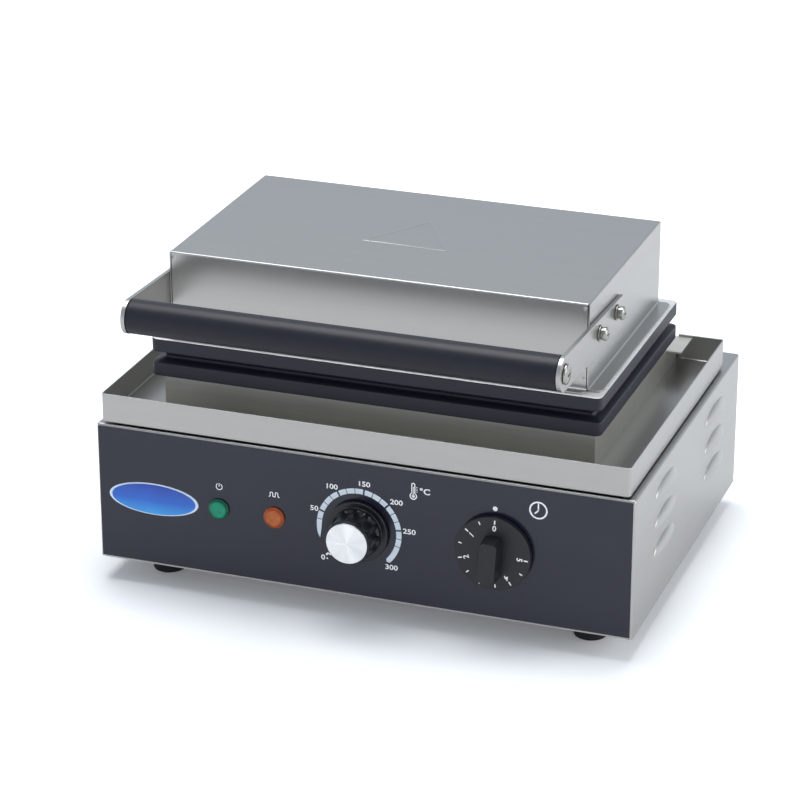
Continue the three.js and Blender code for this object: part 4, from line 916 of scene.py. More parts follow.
class WAFFLE_OT_lamps(bpy.types.Operator):
    """Makes the lenses of the two pilot lamps"""

    bl_idname = "waffle.lamps"
    bl_label = "Lamp lenses"

    def execute(self, context):
        profile = softened([(0, -8.7), (5.9, -8.7), (5.9, 0.3), (8.2, 0.3), (8.2, 1.3), (6.4, 2.5)], [0.3, 0.1, 0.1, 0.4], 4)
        face = softened([(6.4, 2.5), (6.0, 2.1), (5.6, 2.55), (0, 2.65)], [0.15, 0.3], 4)
        for node, x, key, slot in (("power_lamp_lens", -108.5, "green", "green_lens"), ("heat_lamp_lens", -65, "orange", "orange_lens")):
            spot = (x, FILM_FACE, CONTROL_Z)
            # The bevelled rim takes the darker copy of the lens colour, painted shade.
            rim = surface(placed(turned(profile, 96), "front", spot), wrap=True, material=1)
            front = surface(placed(turned(face, 96), "front", spot), wrap=True)
            lens = build(f"clear_{node}", [rim, front], [finish(key), finish(f"{key}_rim")], crisp=40)
            fitted(lens, "base", [node])
        return {"FINISHED"}


class WAFFLE_OT_thermostat_knob(bpy.types.Operator):
    """Makes the fluted thermostat knob with its cap and pointer"""

    bl_idname = "waffle.thermostat_knob"
    bl_label = "Thermostat knob"

    def execute(self, context):
        flutes = context.scene.waffle_sizes.flutes
        spot = (0, FILM_FACE, CONTROL_Z)
        reach, flute = 21.6, 5.0

        def fluted(radius, angle, height):
            """A flute is a circle of its own radius, centred at reach: the knob's radius is the nearer of the cone
            and that circle's near side, reach cos d - root(flute^2 - reach^2 sin^2 d)."""
            pitch = 2 * math.pi / flutes
            away = (angle / pitch) % 1 * pitch - pitch / 2
            inside = flute ** 2 - (reach * np.sin(away)) ** 2
            near = reach * np.cos(away) - np.sqrt(np.clip(inside, 0, None))
            run = np.clip((height - 6.3) / 1.6, 0, 1)
            cut = np.where((inside > 0) & (height < 24.01), np.clip(radius - near, 0, None), 0)
            cut = np.where(radius > 16.2, cut, 0)
            return radius - cut * run * run * (3 - 2 * run)

        outside = softened([(0, 1), (23.5, 1), (23.5, 4), (19.0, 4), (17.0, 24), (15.9, 24), (15.9, 23.4), (0, 23.4)],
                           [0.3, 0.8, 0.6, 0.7, 0.15, 0.2])
        climb = np.linspace(5.2, 22.6, 26)[:, None]
        cone = np.concatenate([19.0 - (climb - 4) * 0.1, climb], axis=1)
        split = int(np.argmax(outside[:, 1] > 12))
        profile = np.concatenate([outside[:split], cone, outside[split:]])
        grip = surface(placed(turned(profile, 288, fluted), "front", spot), wrap=True)
        knob = build("fluted_thermostat_knob", [grip], [finish("phenolic")], crisp=38)
        fitted(knob, "thermostat_control", ["thermostat_knob"])

        disc_profile = softened([(0, 23.7), (15.6, 23.7), (15.6, 24.5), (15.1, 24.9), (14.6, 24.86)], 0.12, 2)
        angle = np.linspace(0, 2 * math.pi, 145)
        r = disc_profile[:, :1] * np.ones_like(angle)
        cap = np.stack([r * np.cos(angle), r * np.sin(angle), disc_profile[:, 1:] * np.ones_like(angle)], axis=-1)
        uv = np.stack([np.broadcast_to(angle / (2 * math.pi), r.shape), r / 16], axis=-1)
        fine = np.linspace(1, 0, 16)[:, None]
        top = np.stack([14.6 * fine * np.cos(angle), 14.6 * fine * np.sin(angle), np.full((16, 145), 24.86)], axis=-1)
        top_uv = np.stack([np.broadcast_to(angle / (2 * math.pi), (16, 145)), 14.6 * fine * np.ones_like(angle) / 16], axis=-1)
        surfaces = [surface(placed(cap, "front", spot), uv=uv), surface(placed(top, "front", spot), uv=top_uv)]
        fitted(build("spun_knob_cap", surfaces, [finish("spun")], crisp=30), "thermostat_control",
               ["thermostat_knob_cap"])

        path = softened([(16.0, 24.06), (17.05, 24.06), (17.6, 18.5)], 0.4)
        strip = np.stack([np.stack([path[:, 0], np.full(len(path), side), path[:, 1]], axis=-1) for side in (-0.65, 0.65)])
        lean = math.radians(219)
        spin = np.array([[math.cos(lean), math.sin(lean), 0], [-math.sin(lean), math.cos(lean), 0], [0, 0, 1]])
        pointer = build("knob_pointer_print", [outward_surface(placed(strip @ spin, "front", spot), "front")],
                        [finish("ink")], turn=False)
        fitted(pointer, "thermostat_control")
        return {"FINISHED"}


class WAFFLE_OT_timer_knob(bpy.types.Operator):
    """Makes the timer's dial with its bar grip, ticks and numbers"""

    bl_idname = "waffle.timer_knob"
    bl_label = "Timer knob"

    def execute(self, context):
        sizes = context.scene.waffle_sizes
        dial = softened([(0, 1), (28.3, 1), (28.3, 5.5), (26.5, 5.5), (0, 5.5)], [0.3, 0.7, 0.1])
        ring = square_ring(spread(-1, 1, 3 / 7, steps=5), spread(-1, 1, 3 / 15, steps=5))
        rows = softened([(0, 5.0), (0, 5.6), (0.8, 18.5), (4, 18.5)], [0.2, 0.9])
        bar = capped(ring_loft(ring, (7.2, 16.2), 3, rows, (0, -2.8)))
        lean = math.radians(TIMER_LEAN)
        spin = np.array([[math.cos(lean), math.sin(lean), 0], [-math.sin(lean), math.cos(lean), 0], [0, 0, 1]])
        surfaces = [
            surface(placed(turned(dial, 120), "front", TIMER_PLACE), wrap=True),
            surface(placed(bar @ spin, "front", TIMER_PLACE), wrap=True),
        ]
        knob = build("timer_dial_knob", surfaces, [finish("plastic")], crisp=36)
        fitted(knob, "timer_control", ["timer_knob"])

        lift = 5.5 + sizes.ink / MM
        marks = []
        for unit in range(6):
            degrees = 90 + 54 * unit + TIMER_LEAN
            marks.append(flat(stroke([(23.4, 0), (26.4, 0)], 1.0), "front", TIMER_PLACE, lift, turn=math.radians(degrees)))
            if unit < 5:
                half = math.radians(degrees + 27)
                marks.append(flat(stroke([(23.4, 0), (25.9, 0)], 0.9), "front", TIMER_PLACE, lift, turn=half))
            spot = [20.2 * math.cos(math.radians(degrees)), 20.2 * math.sin(math.radians(degrees))]
            marks.append(glyphs(str(unit), 4.6, "front", TIMER_PLACE, lift, turn=math.radians(degrees - 90), shift=spot,
                                wide=1.0))
        fitted(build("timer_dial_print", marks, [finish("ink")], turn=False), "timer_control")
        return {"FINISHED"}


# Drip tray

class WAFFLE_OT_tray(bpy.types.Operator):
    """Makes the drip tray with its rounded floor, thin rim, rear notch and pressed seats"""

    bl_idname = "waffle.tray"
    bl_label = "Drip tray"

    def execute(self, context):
        sizes = context.scene.waffle_sizes
        sheet, bend = sizes.sheet / MM, sizes.tray_bend / MM
        low, high = cad("drip_tray")
        floor, inner, rim, notch, notch_half = 118.9, 121.8, high[2], 137.0, 165.7
        half = (high[:2] - low[:2]) / 2
        middle = (high[:2] + low[:2]) / 2
        steps = [-notch_half - 0.3, -notch_half + 0.3, -80, 0, 80, notch_half - 0.3, notch_half + 0.3]
        across = spread(-half[0], half[0], 2.5, steps) / half[0]
        along = spread(-half[1], half[1], 2.5, [-60, 0, 60]) / half[1]
        ring = square_ring(across, along)
        corners = [(40, floor), (0, floor), (0, rim), (sheet, rim), (sheet, inner), (40, inner)]
        profile = softened(corners, [bend, 0.3, 0.3, 1.0], 5)
        points = ring_loft(ring, half, 2.5, profile, middle)
        behind = (ring[:, 1] > 0.999) * np.clip((notch_half + 0.3 - np.abs(ring[:, 0] * half[0])) / 0.6, 0, 1)
        share = 1 - behind * (rim - notch) / (rim - floor)
        points[..., 2] = floor + (points[..., 2] - floor) * share[None, :]
        edge_x = np.abs(ring[:, 0]) > np.abs(ring[:, 1])
        grain = (edge_x & np.roll(edge_x, -1)).astype(int)
        surfaces = [surface(capped(points), wrap=True, material=grain)]
        seat = softened([(0, 117.8), (6, 117.8), (8, 119.1), (0, 119.1)], [0.8, 0.1])
        surfaces += [
            surface(placed(turned(seat, 48), "up", (x, -3.6 + y, 0)), wrap=True) for x in (-156, 156) for y in (-78, 78)
        ]
        tray = build("drip_tray_sheet", surfaces, [finish("stainless_x"), finish("stainless_y")], crisp=40)
        fitted(tray, "base", ["drip_tray"])
        return {"FINISHED"}


# Castings

PLACES_X = (-106.67, 0.0, 106.67)
PLACE_HALF = (48.335, 86.0)
PLACE_DEPTH, PLACE_DRAFT, PLACE_CORNER = 8.5, 1.5, 4.0
STUD_GROOVE, STUD_DRAFT, STUD_SHORT = 5.5, 1.3, 2.4


def inside(x, y, half_x, half_y, radius):
    """How far a point lies inside a rectangle with round corners: radius less the distance to the inner
    rectangle, grown by the depth in it."""
    qx, qy = np.abs(x) - half_x + radius, np.abs(y) - half_y + radius
    away = np.hypot(np.clip(qx, 0, None), np.clip(qy, 0, None))
    return radius - away - np.clip(np.maximum(qx, qy), None, 0)


def eased(share):
    """A draft from 0 to 1 with its two edges a little rounded."""
    share = np.clip(share, 0, 1)
    return 0.55 * share + 0.45 * share * share * (3 - 2 * share)


def casting_field(columns, rows):
    """The lines and the depths of a cooking face: pockets with drafted walls, less the drafted studs in them."""
    floor_x, floor_y = PLACE_HALF[0] - PLACE_DRAFT, PLACE_HALF[1] - PLACE_DRAFT
    pitch_x, pitch_y = (2 * floor_x - STUD_GROOVE) / columns, (2 * floor_y - STUD_GROOVE) / rows
    stud_x, stud_y = (pitch_x - STUD_GROOVE) / 2, (pitch_y - STUD_GROOVE) / 2
    wall = np.array([0, 0.4, 0.75, 1.1, 1.5, 2.2, 3.0, 4.0])
    draft = np.linspace(0, STUD_DRAFT, 5)

    def axis_lines(half, centres, stud):
        pocket = np.concatenate([half - wall, wall - half])
        studs = np.concatenate([np.concatenate([c - stud + draft, c + stud - draft]) for c in centres])
        return np.concatenate([pocket, studs])

    centres_x = (np.arange(columns) - (columns - 1) / 2) * pitch_x
    centres_y = (np.arange(rows) - (rows - 1) / 2) * pitch_y
    x = np.concatenate([place + axis_lines(PLACE_HALF[0], centres_x, stud_x) for place in PLACES_X])
    y = axis_lines(PLACE_HALF[1], centres_y, stud_y)
    crowd = 1 - (5 - 5 * np.tan(np.linspace(0, math.pi / 4, 6))) / 171
    x = np.unique(np.round(np.concatenate([x, 158 * crowd, -158 * crowd]), 3))
    y = np.unique(np.round(np.concatenate([y, 89 * (1 - (1 - crowd) * 171 / 102), 89 * ((1 - crowd) * 171 / 102 - 1)]), 3))
    across, along = np.meshgrid(x, y, indexing="ij")
    depth = np.zeros_like(across)
    for place in PLACES_X:
        pocket = eased(inside(across - place, along, *PLACE_HALF, PLACE_CORNER) / PLACE_DRAFT)
        stud = np.zeros_like(across)
        for centre_x in centres_x:
            near = np.abs(across - place - centre_x) < pitch_x / 2
            row = np.clip(np.round(along / pitch_y + (rows - 1) / 2), 0, rows - 1)
            centre_y = (row - (rows - 1) / 2) * pitch_y
            tall = eased(inside(across - place - centre_x, along - centre_y, stud_x, stud_y, 1.2) / STUD_DRAFT)
            stud = np.where(near, np.maximum(stud, tall), stud)
        depth += pocket * PLACE_DEPTH - np.where(pocket > 0.999, stud, 0) * (PLACE_DEPTH - STUD_SHORT)
    return across, along, depth


class WAFFLE_OT_castings(bpy.types.Operator):
    """Makes the two cooking castings with their studded places and the V-groove between them"""

    bl_idname = "waffle.castings"
    bl_label = "Castings"

    def execute(self, context):
        sizes = context.scene.waffle_sizes
        edge = sizes.edge / MM
        across, along, depth = casting_field(sizes.stud_columns, sizes.stud_rows)
        middle_y, parting = -3.6, 165.05
        ring = square_ring(across[:, 0], along[0]) / np.array([158.0, 89.0])
        for node, body, sign in (("lower_plate", "base", -1), ("upper_plate", "lid", 1)):
            field = np.stack([across, along + middle_y, parting + sign * (0.15 + depth)], axis=-1)
            corners = [(13, 0.15), (8, 0.15), (7, 2.2), (0, 4.55), (0, 14.55), (30, 14.55)]
            rows = softened(corners, [0.3, edge, edge, edge * 1.4])
            rows[:, 1] = parting + sign * rows[:, 1]
            rim = ring_loft(ring, (171, 102), 5, rows, (0, middle_y))
            border = square_ring(across[:, 0], along[0])
            start = np.concatenate([border + (0, middle_y), np.full((len(border), 1), parting + sign * 0.15)], axis=1)
            sides = np.concatenate([start[None], rim[1:]])
            end = np.broadcast_to(sides[-1].mean(axis=0), sides[:1].shape)
            sides = np.concatenate([sides, end])
            milled = np.zeros(len(sides) - 1, int)
            milled[1:] = (sign > 0) & (np.abs(sides[1:-1, 0, 2] - parting) > 14.2)
            surfaces = [surface(field), surface(sides, wrap=True, material=milled[:, None])]
            casting = build(f"cast_{node}", surfaces, [finish("casting"), finish("machined")], crisp=50)
            fitted(casting, body, [node])
        return {"FINISHED"}


# Lid cover

TRIANGLE = ((-34.4, -25.2), (-1.7, 27.7), (29.6, -26.8))
DIMPLES = ((-155, 240.5), (155, 240.5), (154.5, 188.5))


def triangle_bead(x, y, width, height):
    """A bead along a triangle: height times (1 - (d / half width)^2)^2, where d is the distance to its sides."""
    nearest = np.full_like(x, 1e9)
    for i in range(3):
        a, b = np.array(TRIANGLE[i]), np.array(TRIANGLE[(i + 1) % 3])
        side = b - a
        t = np.clip(((x - a[0]) * side[0] + (y - a[1]) * side[1]) / (side @ side), 0, 1)
        nearest = np.minimum(nearest, np.hypot(x - a[0] - t * side[0], y - a[1] - t * side[1]))
    return height * np.clip(1 - (2 * nearest / width) ** 2, 0, 1) ** 2


class WAFFLE_OT_cover(bpy.types.Operator):
    """Makes the folded lid cover with its flanges, open corners, bead and dimples"""

    bl_idname = "waffle.cover"
    bl_label = "Lid cover"

    def execute(self, context):
        sizes = context.scene.waffle_sizes
        bend, sheet = sizes.cover_bend / MM, sizes.sheet / MM
        bead = sizes.bead_height / MM
        low, high = cad("lid_cover")
        half_x, half_y, middle_y = 158.3, 91.7, -3.6
        top, foot = high[2] - bead, low[2] + sheet
        flat_x, flat_y = half_x - bend, half_y - bend
        spots = np.concatenate([[-155, 155] + offset for offset in np.linspace(-2.1, 2.1, 11)[:, None]])
        x = np.concatenate([np.linspace(-flat_x, flat_x, 15), [0.5 - flat_x, flat_x - 0.5], np.arange(-38, 34, 0.7), spots])
        y = np.concatenate([np.linspace(-flat_y, flat_y, 9), [0.5 - flat_y, flat_y - 0.5]]) + middle_y
        y = np.concatenate([y, np.arange(-30, 31, 0.7)])
        x, y = np.unique(np.round(x, 3)), np.unique(np.round(y, 3))
        across, along = np.meshgrid(x, y, indexing="ij")
        roof = np.stack([across, along, top + triangle_bead(across, along, sizes.bead_width / MM, bead)], axis=-1)

        angle = np.linspace(0, math.pi / 2, 6)
        fold = np.stack([bend * np.sin(angle) - bend, top - bend + bend * np.cos(angle)], axis=-1)
        heel = np.stack([bend - bend * np.cos(angle), foot + bend - bend * np.sin(angle)], axis=-1)
        levels = np.concatenate([240.5 + np.linspace(2.1, -2.1, 11), 188.5 + np.linspace(2.1, -2.1, 11),
                                 [225, 205, top - bend - 0.5, foot + bend + 0.5]])
        levels = np.unique(np.round(levels, 3))[::-1]
        wall = np.stack([np.zeros_like(levels), levels], axis=-1)

        def strip(lines, reach, wide, flange, ended):
            """A folded wall: rows run over the fold, down the wall and out on the flange, whose free corners are
            rounded; each row spans the given lines, stretched to that row's own half length."""
            out = np.concatenate([[bend + 0.5, (bend + flange - 4.5) / 2, flange - 4.5], flange - 4.5 + 4.5 * np.sin(np.linspace(0, 1.5708, 7))[1:]])
            rows = np.concatenate([fold, wall, heel, np.stack([out, np.full_like(out, foot)], axis=-1)])
            inside_flange = np.clip(rows[:, 0] - (flange - 4.5), 0, 4.5)
            span = np.where(rows[:, 1] >= top, reach, wide)
            span = np.where(rows[:, 0] > 0.2, ended, span)
            span = span - (4.5 - np.sqrt(np.clip(4.5 ** 2 - inside_flange ** 2, 0, None)))
            span[:6] = reach + (wide - reach) * np.linspace(0, 1, 6)
            return rows, lines[None, :] * (span / reach)[:, None]

        surfaces = [surface(roof)]
        rows, spread_x = strip(x, flat_x, half_x - sheet - 0.6, 7.4, half_x - 0.9)
        for sign in (-1, 1):
            deep = np.broadcast_to(rows[:, :1], spread_x.shape).copy()
            tall = np.broadcast_to(rows[:, 1:], spread_x.shape)
            if sign < 0:
                for spot_x, spot_z in DIMPLES:
                    deep -= 0.4 * np.exp(-((spread_x - spot_x) ** 2 + (tall - spot_z) ** 2) / 1.2) * (np.abs(deep) < 0.4)
            points = np.stack([spread_x, middle_y + sign * (half_y + deep), tall], axis=-1)
            surfaces.append(surface(points))
        rows, spread_y = strip(y - middle_y, flat_y, half_y - 0.1, 9.6, half_y - 0.1)
        for sign in (-1, 1):
            tall = np.broadcast_to(rows[:, 1:], spread_y.shape)
            points = np.stack([sign * (half_x + np.broadcast_to(rows[:, :1], spread_y.shape)), middle_y + spread_y, tall], axis=-1)
            surfaces.append(surface(points, material=1))
        cover = build("lid_cover_sheet", surfaces, [finish("stainless_x"), finish("stainless_y")])
        fitted(walled(cover, sizes.sheet), "lid", ["lid_cover"])
        return {"FINISHED"}


# Handle

HANDLE_Y, HANDLE_Z = -162.6, 219.2
ARM_INNER, ARM_OUTER = 158.6, 161.6
BOLT_YS, BOLT_Z = (-80.6, -38.1), 218.4


class WAFFLE_OT_handle(bpy.types.Operator):
    """Makes the handle's grip, its two flat arms and the end screws"""

    bl_idname = "waffle.handle"
    bl_label = "Handle"

    def execute(self, context):
        width, long, lean = 12.8, 140.0, math.radians(2.4)
        front = arc(width, 270, 90, 6)
        ends = np.array([(long, width), (long, -width)])
        outline = np.concatenate([front, ends])
        top = front[-1] + (ends[0] - front[-1]) * np.linspace(0.02, 0.99, 12)[:, None]
        rear = ends[0] + (ends[1] - ends[0]) * np.array([0.0, 0.03, 0.5, 0.97, 1.0])[:, None]
        bottom = ends[1] + (front[0] - ends[1]) * np.linspace(0.01, 0.98, 12)[:, None]
        outline = np.concatenate([front, top, rear, bottom])[::-1]
        spin = np.array([[math.cos(lean), -math.sin(lean)], [math.sin(lean), math.cos(lean)]])
        outline = outline @ spin + np.array([HANDLE_Y, HANDLE_Z])
        for side, sign in (("left", -1), ("right", 1)):
            body = slab(outline, ARM_INNER, ARM_OUTER, 0.35)
            points = np.stack([sign * body[..., 2], body[..., 0], body[..., 1]], axis=-1)
            arm = build(f"flat_handle_arm_{side}", [surface(points, wrap=True)], [finish("stainless_y")], crisp=30)
            fitted(arm, "lid", [f"handle_arm_{side}"])
            head = screw_head(7.3, 1.0, 1.8, 84, 30, bar=1.5, reach=3.4, sunk=1.3)
            head[..., 2] += 0.3
            neck = turned(np.array([(0, -15.3), (2.5, -15.3), (2.5, 0.31), (0, 0.31)]), 24)
            spot = (sign * ARM_OUTER, HANDLE_Y, HANDLE_Z)
            surfaces = [surface(placed(head, side, spot), wrap=True), surface(placed(neck, side, spot), wrap=True)]
            screw = build(f"pan_end_screw_{side}", surfaces, [finish("zinc")], crisp=34)
            fitted(screw, "lid", [f"handle_end_screw_{side}"])
        half = 158.3
        profile = softened([(0, -half), (12.5, -half), (12.5, half), (0, half)], [1.0, 1.0])
        grip = surface(placed(turned(profile, 128), "right", (0, HANDLE_Y, HANDLE_Z)), wrap=True)
        fitted(build("moulded_handle_grip", [grip], [finish("bakelite")]), "lid", ["handle_grip"])
        return {"FINISHED"}


class WAFFLE_OT_fasteners(bpy.types.Operator):
    """Makes the arm bolts with their washers, the hinge bolts and the screws of the base plate"""

    bl_idname = "waffle.fasteners"
    bl_label = "Fasteners"

    def execute(self, context):
        washer = softened([(2.7, 0.3), (5.8, 0.3), (5.8, 1.3), (2.7, 1.3), (2.7, 0.3)], [0.1, 0.2, 0.1])
        head = screw_head(4.9, 1.8, 1.8, 72, 26)
        head[..., 2] += 3.0
        shank = turned(np.array([(0, -8.3), (2.5, -8.3), (2.5, 3.05), (0, 3.05)]), 24)
        angle = np.radians(np.linspace(6, 352, 90))[:, None]
        corner = np.array([(2.8, 0), (4.5, 0), (4.5, 1.25), (2.8, 1.25)])
        r, z = corner[:, 0][None, :], corner[:, 1][None, :] + 1.6 + 0.15 * angle / (2 * math.pi)
        spring = capped(np.stack([r * np.cos(angle), r * np.sin(angle), z], axis=-1))
        for side, sign in (("left", -1), ("right", 1)):
            for end, y in zip(("front", "rear"), BOLT_YS):
                spot = (sign * ARM_OUTER, y, BOLT_Z)
                flat_washer = surface(placed(turned(washer, 64), side, spot), wrap=True)
                fitted(build(f"flat_washer_{side}_{end}", [flat_washer], [finish("zinc")]), "lid",
                       [f"arm_washer_{side}_{end}"])
                surfaces = [surface(placed(part, side, spot), wrap=True) for part in (shank, head, spring)]
                bolt = build(f"pan_bolt_{side}_{end}", surfaces, [finish("zinc")], crisp=34)
                fitted(bolt, "lid", [f"arm_bolt_{side}_{end}"])
        small = screw_head(4.4, 1.1, 1.5, 48, 16, reach=2.4)
        shelf = [surface(placed(small, "up", (x + w, 108.75, 142.9)), wrap=True) for x in (-110, 110) for w in (-21.3, 21.3)]
        fitted(build("hinge_bracket_screws", shelf, [finish("zinc")], crisp=34), "base")
        leaf = [surface(placed(small, "up", (x + w, 93.3, 185.2)), wrap=True) for x in (-110, 110) for w in (-6, 6)]
        fitted(build("hinge_leaf_screws", leaf, [finish("zinc")], crisp=34), "lid")
        under = [surface(placed(small, "down", (x, y, 10)), wrap=True) for x in (-125, 125) for y in (-123.6, 154.4)]
        fitted(build("base_plate_screws", under, [finish("zinc")], crisp=34), "base")
        return {"FINISHED"}


class WAFFLE_OT_gland(bpy.types.Operator):
    """Makes the cable gland at the back"""

    bl_idname = "waffle.gland"
    bl_label = "Cable gland"

    def execute(self, context):
        def hexagon(radius, angle, height):
            """Up to the flange's top the radius is that of a hexagon, apothem / cos of the angle from a flat."""
            away = (angle / (math.pi / 3)) % 1 * (math.pi / 3) - math.pi / 6
            flats = np.minimum(radius, 11 * math.cos(math.pi / 6) / np.cos(away))
            return np.where((radius > 9.2) & (height < 6), flats, radius)

        profile = softened(
            [(4.2, -8), (6.5, -8), (6.5, 0.3), (11, 0.3), (11, 5), (9, 5), (9, 11), (5.6, 14), (4.2, 14), (4.2, -8)],
            [0.2, 0.1, 0.5, 0.5, 0.4, 1.2, 0.6, 0.5],
        )
        gland = surface(placed(turned(profile, 120, hexagon), "rear", (120, 161.4, 36)), wrap=True)
        fitted(build("moulded_cable_gland", [gland], [finish("plastic")], crisp=36), "base", ["cable_gland"])
        return {"FINISHED"}


# Stage

class WAFFLE_OT_stage(bpy.types.Operator):
    """Sets the camera, the floor, the world and the lamps"""

    bl_idname = "waffle.stage"
    bl_label = "Stage"

    def execute(self, context):
        scene = context.scene
        rows = np.array([[0.94079, 0.33900, -0.00031], [0.13091, -0.36414, -0.92210], [-0.31270, 0.86746, -0.38696]])
        lens = bpy.data.cameras.new("camera")
        lens.sensor_width = 36
        lens.lens = 3135.41 * 36 / 800
        lens.clip_end = 100
        camera = bpy.data.objects.new("camera", lens)
        scene.collection.objects.link(camera)
        turn = Matrix([rows[0], -rows[1], -rows[2]]).transposed().to_4x4()
        camera.matrix_world = Matrix.Translation((0.72021, -2.04119, 1.02134 + STAND * MM)) @ turn
        scene.camera = camera

        steps = np.concatenate([np.linspace(0, 0.8, 9), np.geomspace(1, 14, 10)])
        angle = np.linspace(0, 2 * math.pi, 64, endpoint=False)[None, :]
        ring = steps[:, None]
        ground = np.stack([ring * np.cos(angle), ring * np.sin(angle), np.full((len(steps), 64), -0.0001)], axis=-1)
        ground = ground[::-1] / MM - (0, 0, STAND)
        floor = build("studio_floor", [surface(ground, wrap=True)], [self.floor_paint(scene)], turn=False)
        if floor.data.polygons[0].normal.z < 0:
            floor.data.flip_normals()

        self.sky(scene)
        self.lamp("overhead softbox", (-0.2, 0.12, 1.85), (0, 0, 0), (1.5, 1.2), 32)
        self.lamp("right softbox", (2.3, 0.1, 1.0), (0, 0, 0.1), (1.5, 1.5), 26)
        self.lamp("front veil", (-0.9, -2.4, 0.9), (0, 0, 0.1), (1.6, 1.0), 8.5, glossy=False)
        scene.view_settings.view_transform = "Standard"
        return {"FINISHED"}

    def floor_paint(self, scene):
        """Matte white studio paint, very slightly mottled: it takes the shadow, and a little light of its own for the
        camera and, at 0.74 of that, for mirrors keeps it white away from the machine. That light is weakest near the
        machine, round a point 5 cm left of and 2 cm in front of its middle: a painted shadow. Mirrors also see the
        paint itself at 0.74."""
        base = tuple(scene.waffle_colours.floor)
        material = bpy.data.materials.new("matte white studio paint with painted shadow")
        material.use_nodes = True
        tree = material.node_tree
        tree.nodes.clear()
        mottle = ranged(tree, pattern(tree, (220, 220, 220), 2), 0, 1)
        path = add_node(tree, "ShaderNodeLightPath")
        dim = add_node(tree, "ShaderNodeMath", {1: -0.26, 2: 1.0}, {0: path.outputs["Is Glossy Ray"]}, operation="MULTIPLY_ADD")
        tone = add_node(tree, "ShaderNodeVectorMath", links={0: shaded(tree, base, mottle, 0.01)}, operation="SCALE")
        tree.links.new(dim.outputs[0], tone.inputs["Scale"])
        paint = add_node(tree, "ShaderNodeBsdfDiffuse", links={"Color": tone.outputs[0]})
        seen = add_node(
            tree, "ShaderNodeMath", {1: 0.74}, {0: path.outputs["Is Glossy Ray"], 2: path.outputs["Is Camera Ray"]},
            operation="MULTIPLY_ADD",
        )
        seen = add_node(
            tree, "ShaderNodeMath", links={0: seen.outputs[0], 1: path.outputs["Is Transmission Ray"]}, operation="MAXIMUM",
        )
        place = add_node(tree, "ShaderNodeTexCoord")
        # The glow is weakest round a point 5 cm left of and 2 cm in front of the middle and grows with distance from
        # it: a painted shadow round the machine.
        moved = add_node(tree, "ShaderNodeVectorMath", {1: (0.05, 0.02, 0)}, {0: place.outputs["Object"]}, operation="ADD")
        away = add_node(tree, "ShaderNodeVectorMath", links={0: moved.outputs[0]}, operation="LENGTH")
        far = ranged(tree, away.outputs["Value"], 0.08, 1.0, 0.2, 2.0)
        glow = add_node(tree, "ShaderNodeMath", links={0: seen.outputs[0], 1: far}, operation="MULTIPLY")
        light = add_node(tree, "ShaderNodeEmission", {"Color": (*linear("#FCFDFF"), 1)}, {"Strength": glow.outputs[0]})
        both = add_node(tree, "ShaderNodeAddShader", links={0: paint.outputs[0], 1: light.outputs[0]})
        add_node(tree, "ShaderNodeOutputMaterial", links={"Surface": both.outputs[0]})
        return material

    def sky(self, scene):
        """A pale room: white for the camera, and for mirrors white at the horizon and grey overhead."""
        world = bpy.data.worlds.new("pale studio")
        scene.world = world
        world.use_nodes = True
        tree = world.node_tree
        tree.nodes.clear()
        place = add_node(tree, "ShaderNodeTexCoord")
        apart = add_node(tree, "ShaderNodeSeparateXYZ", links={"Vector": place.outputs["Generated"]})
        height = ranged(tree, apart.outputs["Z"], 0.95, 0.56, 0.1, 0.8)
        path = add_node(tree, "ShaderNodeLightPath")
        glossy = add_node(tree, "ShaderNodeMix", data_type="FLOAT", links={0: path.outputs["Is Glossy Ray"], 3: height})
        glossy.inputs[2].default_value = 0.5
        clear = add_node(tree, "ShaderNodeMath", links={0: path.outputs["Is Camera Ray"], 1: path.outputs["Is Transmission Ray"]}, operation="MAXIMUM")
        level = add_node(tree, "ShaderNodeMix", data_type="FLOAT", links={0: clear.outputs[0], 2: glossy.outputs[0]})
        level.inputs[3].default_value = 1.0
        tint = add_node(tree, "ShaderNodeMix", data_type="RGBA", links={0: clear.outputs[0]})
        tint.inputs[6].default_value = (*linear("#E2ECF8"), 1)
        tint.inputs[7].default_value = (1, 1, 1, 1)
        light = add_node(
            tree, "ShaderNodeBackground", links={"Strength": level.outputs[0], "Color": tint.outputs[2]},
        )
        add_node(tree, "ShaderNodeOutputWorld", links={"Surface": light.outputs[0]})

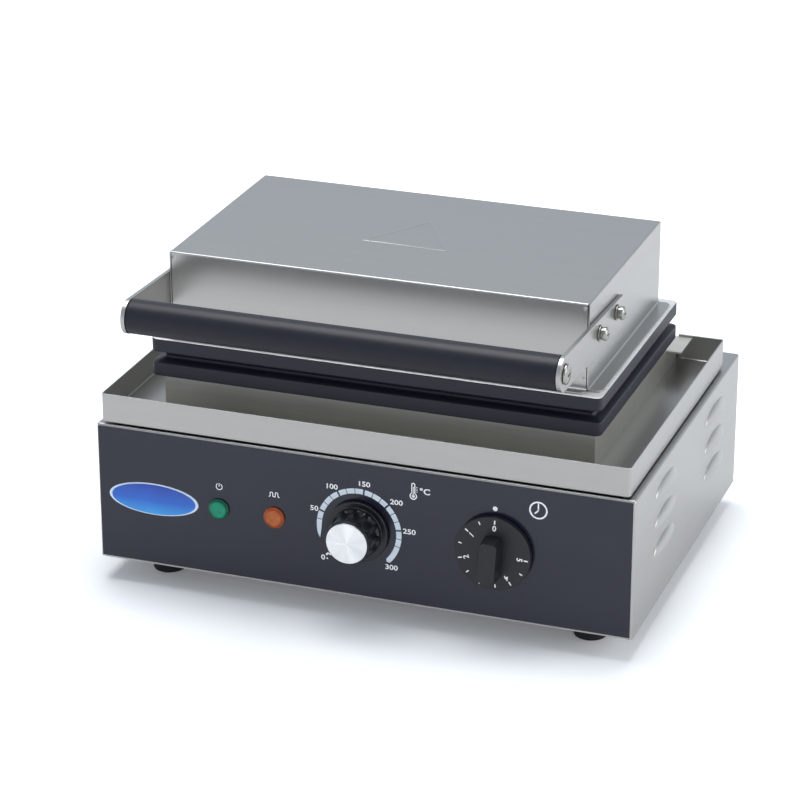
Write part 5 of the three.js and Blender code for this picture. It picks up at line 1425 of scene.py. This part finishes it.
    def lamp(self, name, place, target, size, power, glossy=True):
        """A rectangular softbox at a place, turned towards a target; mirrors may be kept from showing it."""
        data = bpy.data.lights.new(name, "AREA")
        data.shape = "RECTANGLE"
        data.size, data.size_y = size
        data.energy = power
        lamp = bpy.data.objects.new(name, data)
        lamp.visible_glossy = glossy
        bpy.context.scene.collection.objects.link(lamp)
        back = np.array(place, float) - np.array(target, float)
        back /= np.linalg.norm(back)
        side = np.cross([0, 0, 1], back) if abs(back[2]) < 0.99 else np.array([1.0, 0, 0])
        side /= np.linalg.norm(side)
        turn = Matrix([side, np.cross(back, side), back]).transposed().to_4x4()
        lamp.matrix_world = Matrix.Translation(place) @ turn


class WAFFLE_PT_panel(bpy.types.Panel):
    """The waffle maker's pieces in the sidebar"""

    bl_label = "Triple Waffle Maker"
    bl_idname = "WAFFLE_PT_panel"
    bl_space_type = "VIEW_3D"
    bl_region_type = "UI"
    bl_category = "Waffle Maker"

    def draw(self, context):
        for group in (context.scene.waffle_sizes, context.scene.waffle_colours):
            box = self.layout.box()
            for key in group.bl_rna.properties.keys():
                if key not in ("rna_type", "name"):
                    box.prop(group, key)
        for operator in OPERATORS:
            self.layout.operator(operator.bl_idname)


OPERATORS = (
    WAFFLE_OT_carried, WAFFLE_OT_housing, WAFFLE_OT_feet, WAFFLE_OT_film, WAFFLE_OT_print, WAFFLE_OT_plate, WAFFLE_OT_lamps,
    WAFFLE_OT_thermostat_knob, WAFFLE_OT_timer_knob, WAFFLE_OT_tray, WAFFLE_OT_castings, WAFFLE_OT_cover,
    WAFFLE_OT_handle, WAFFLE_OT_fasteners, WAFFLE_OT_gland, WAFFLE_OT_stage,
)
CLASSES = (WAFFLE_PG_sizes, WAFFLE_PG_colours, *OPERATORS, WAFFLE_PT_panel)


def register():
    for item in CLASSES:
        bpy.utils.register_class(item)
    bpy.types.Scene.waffle_sizes = bpy.props.PointerProperty(type=WAFFLE_PG_sizes)
    bpy.types.Scene.waffle_colours = bpy.props.PointerProperty(type=WAFFLE_PG_colours)


def unregister():
    del bpy.types.Scene.waffle_colours
    del bpy.types.Scene.waffle_sizes
    for item in reversed(CLASSES):
        bpy.utils.unregister_class(item)


def main():
    register()
    for operator in OPERATORS:
        group, name = operator.bl_idname.split(".")
        getattr(getattr(bpy.ops, group), name)()
    bpy.context.view_layer.update()


if __name__ == "__main__":
    main()
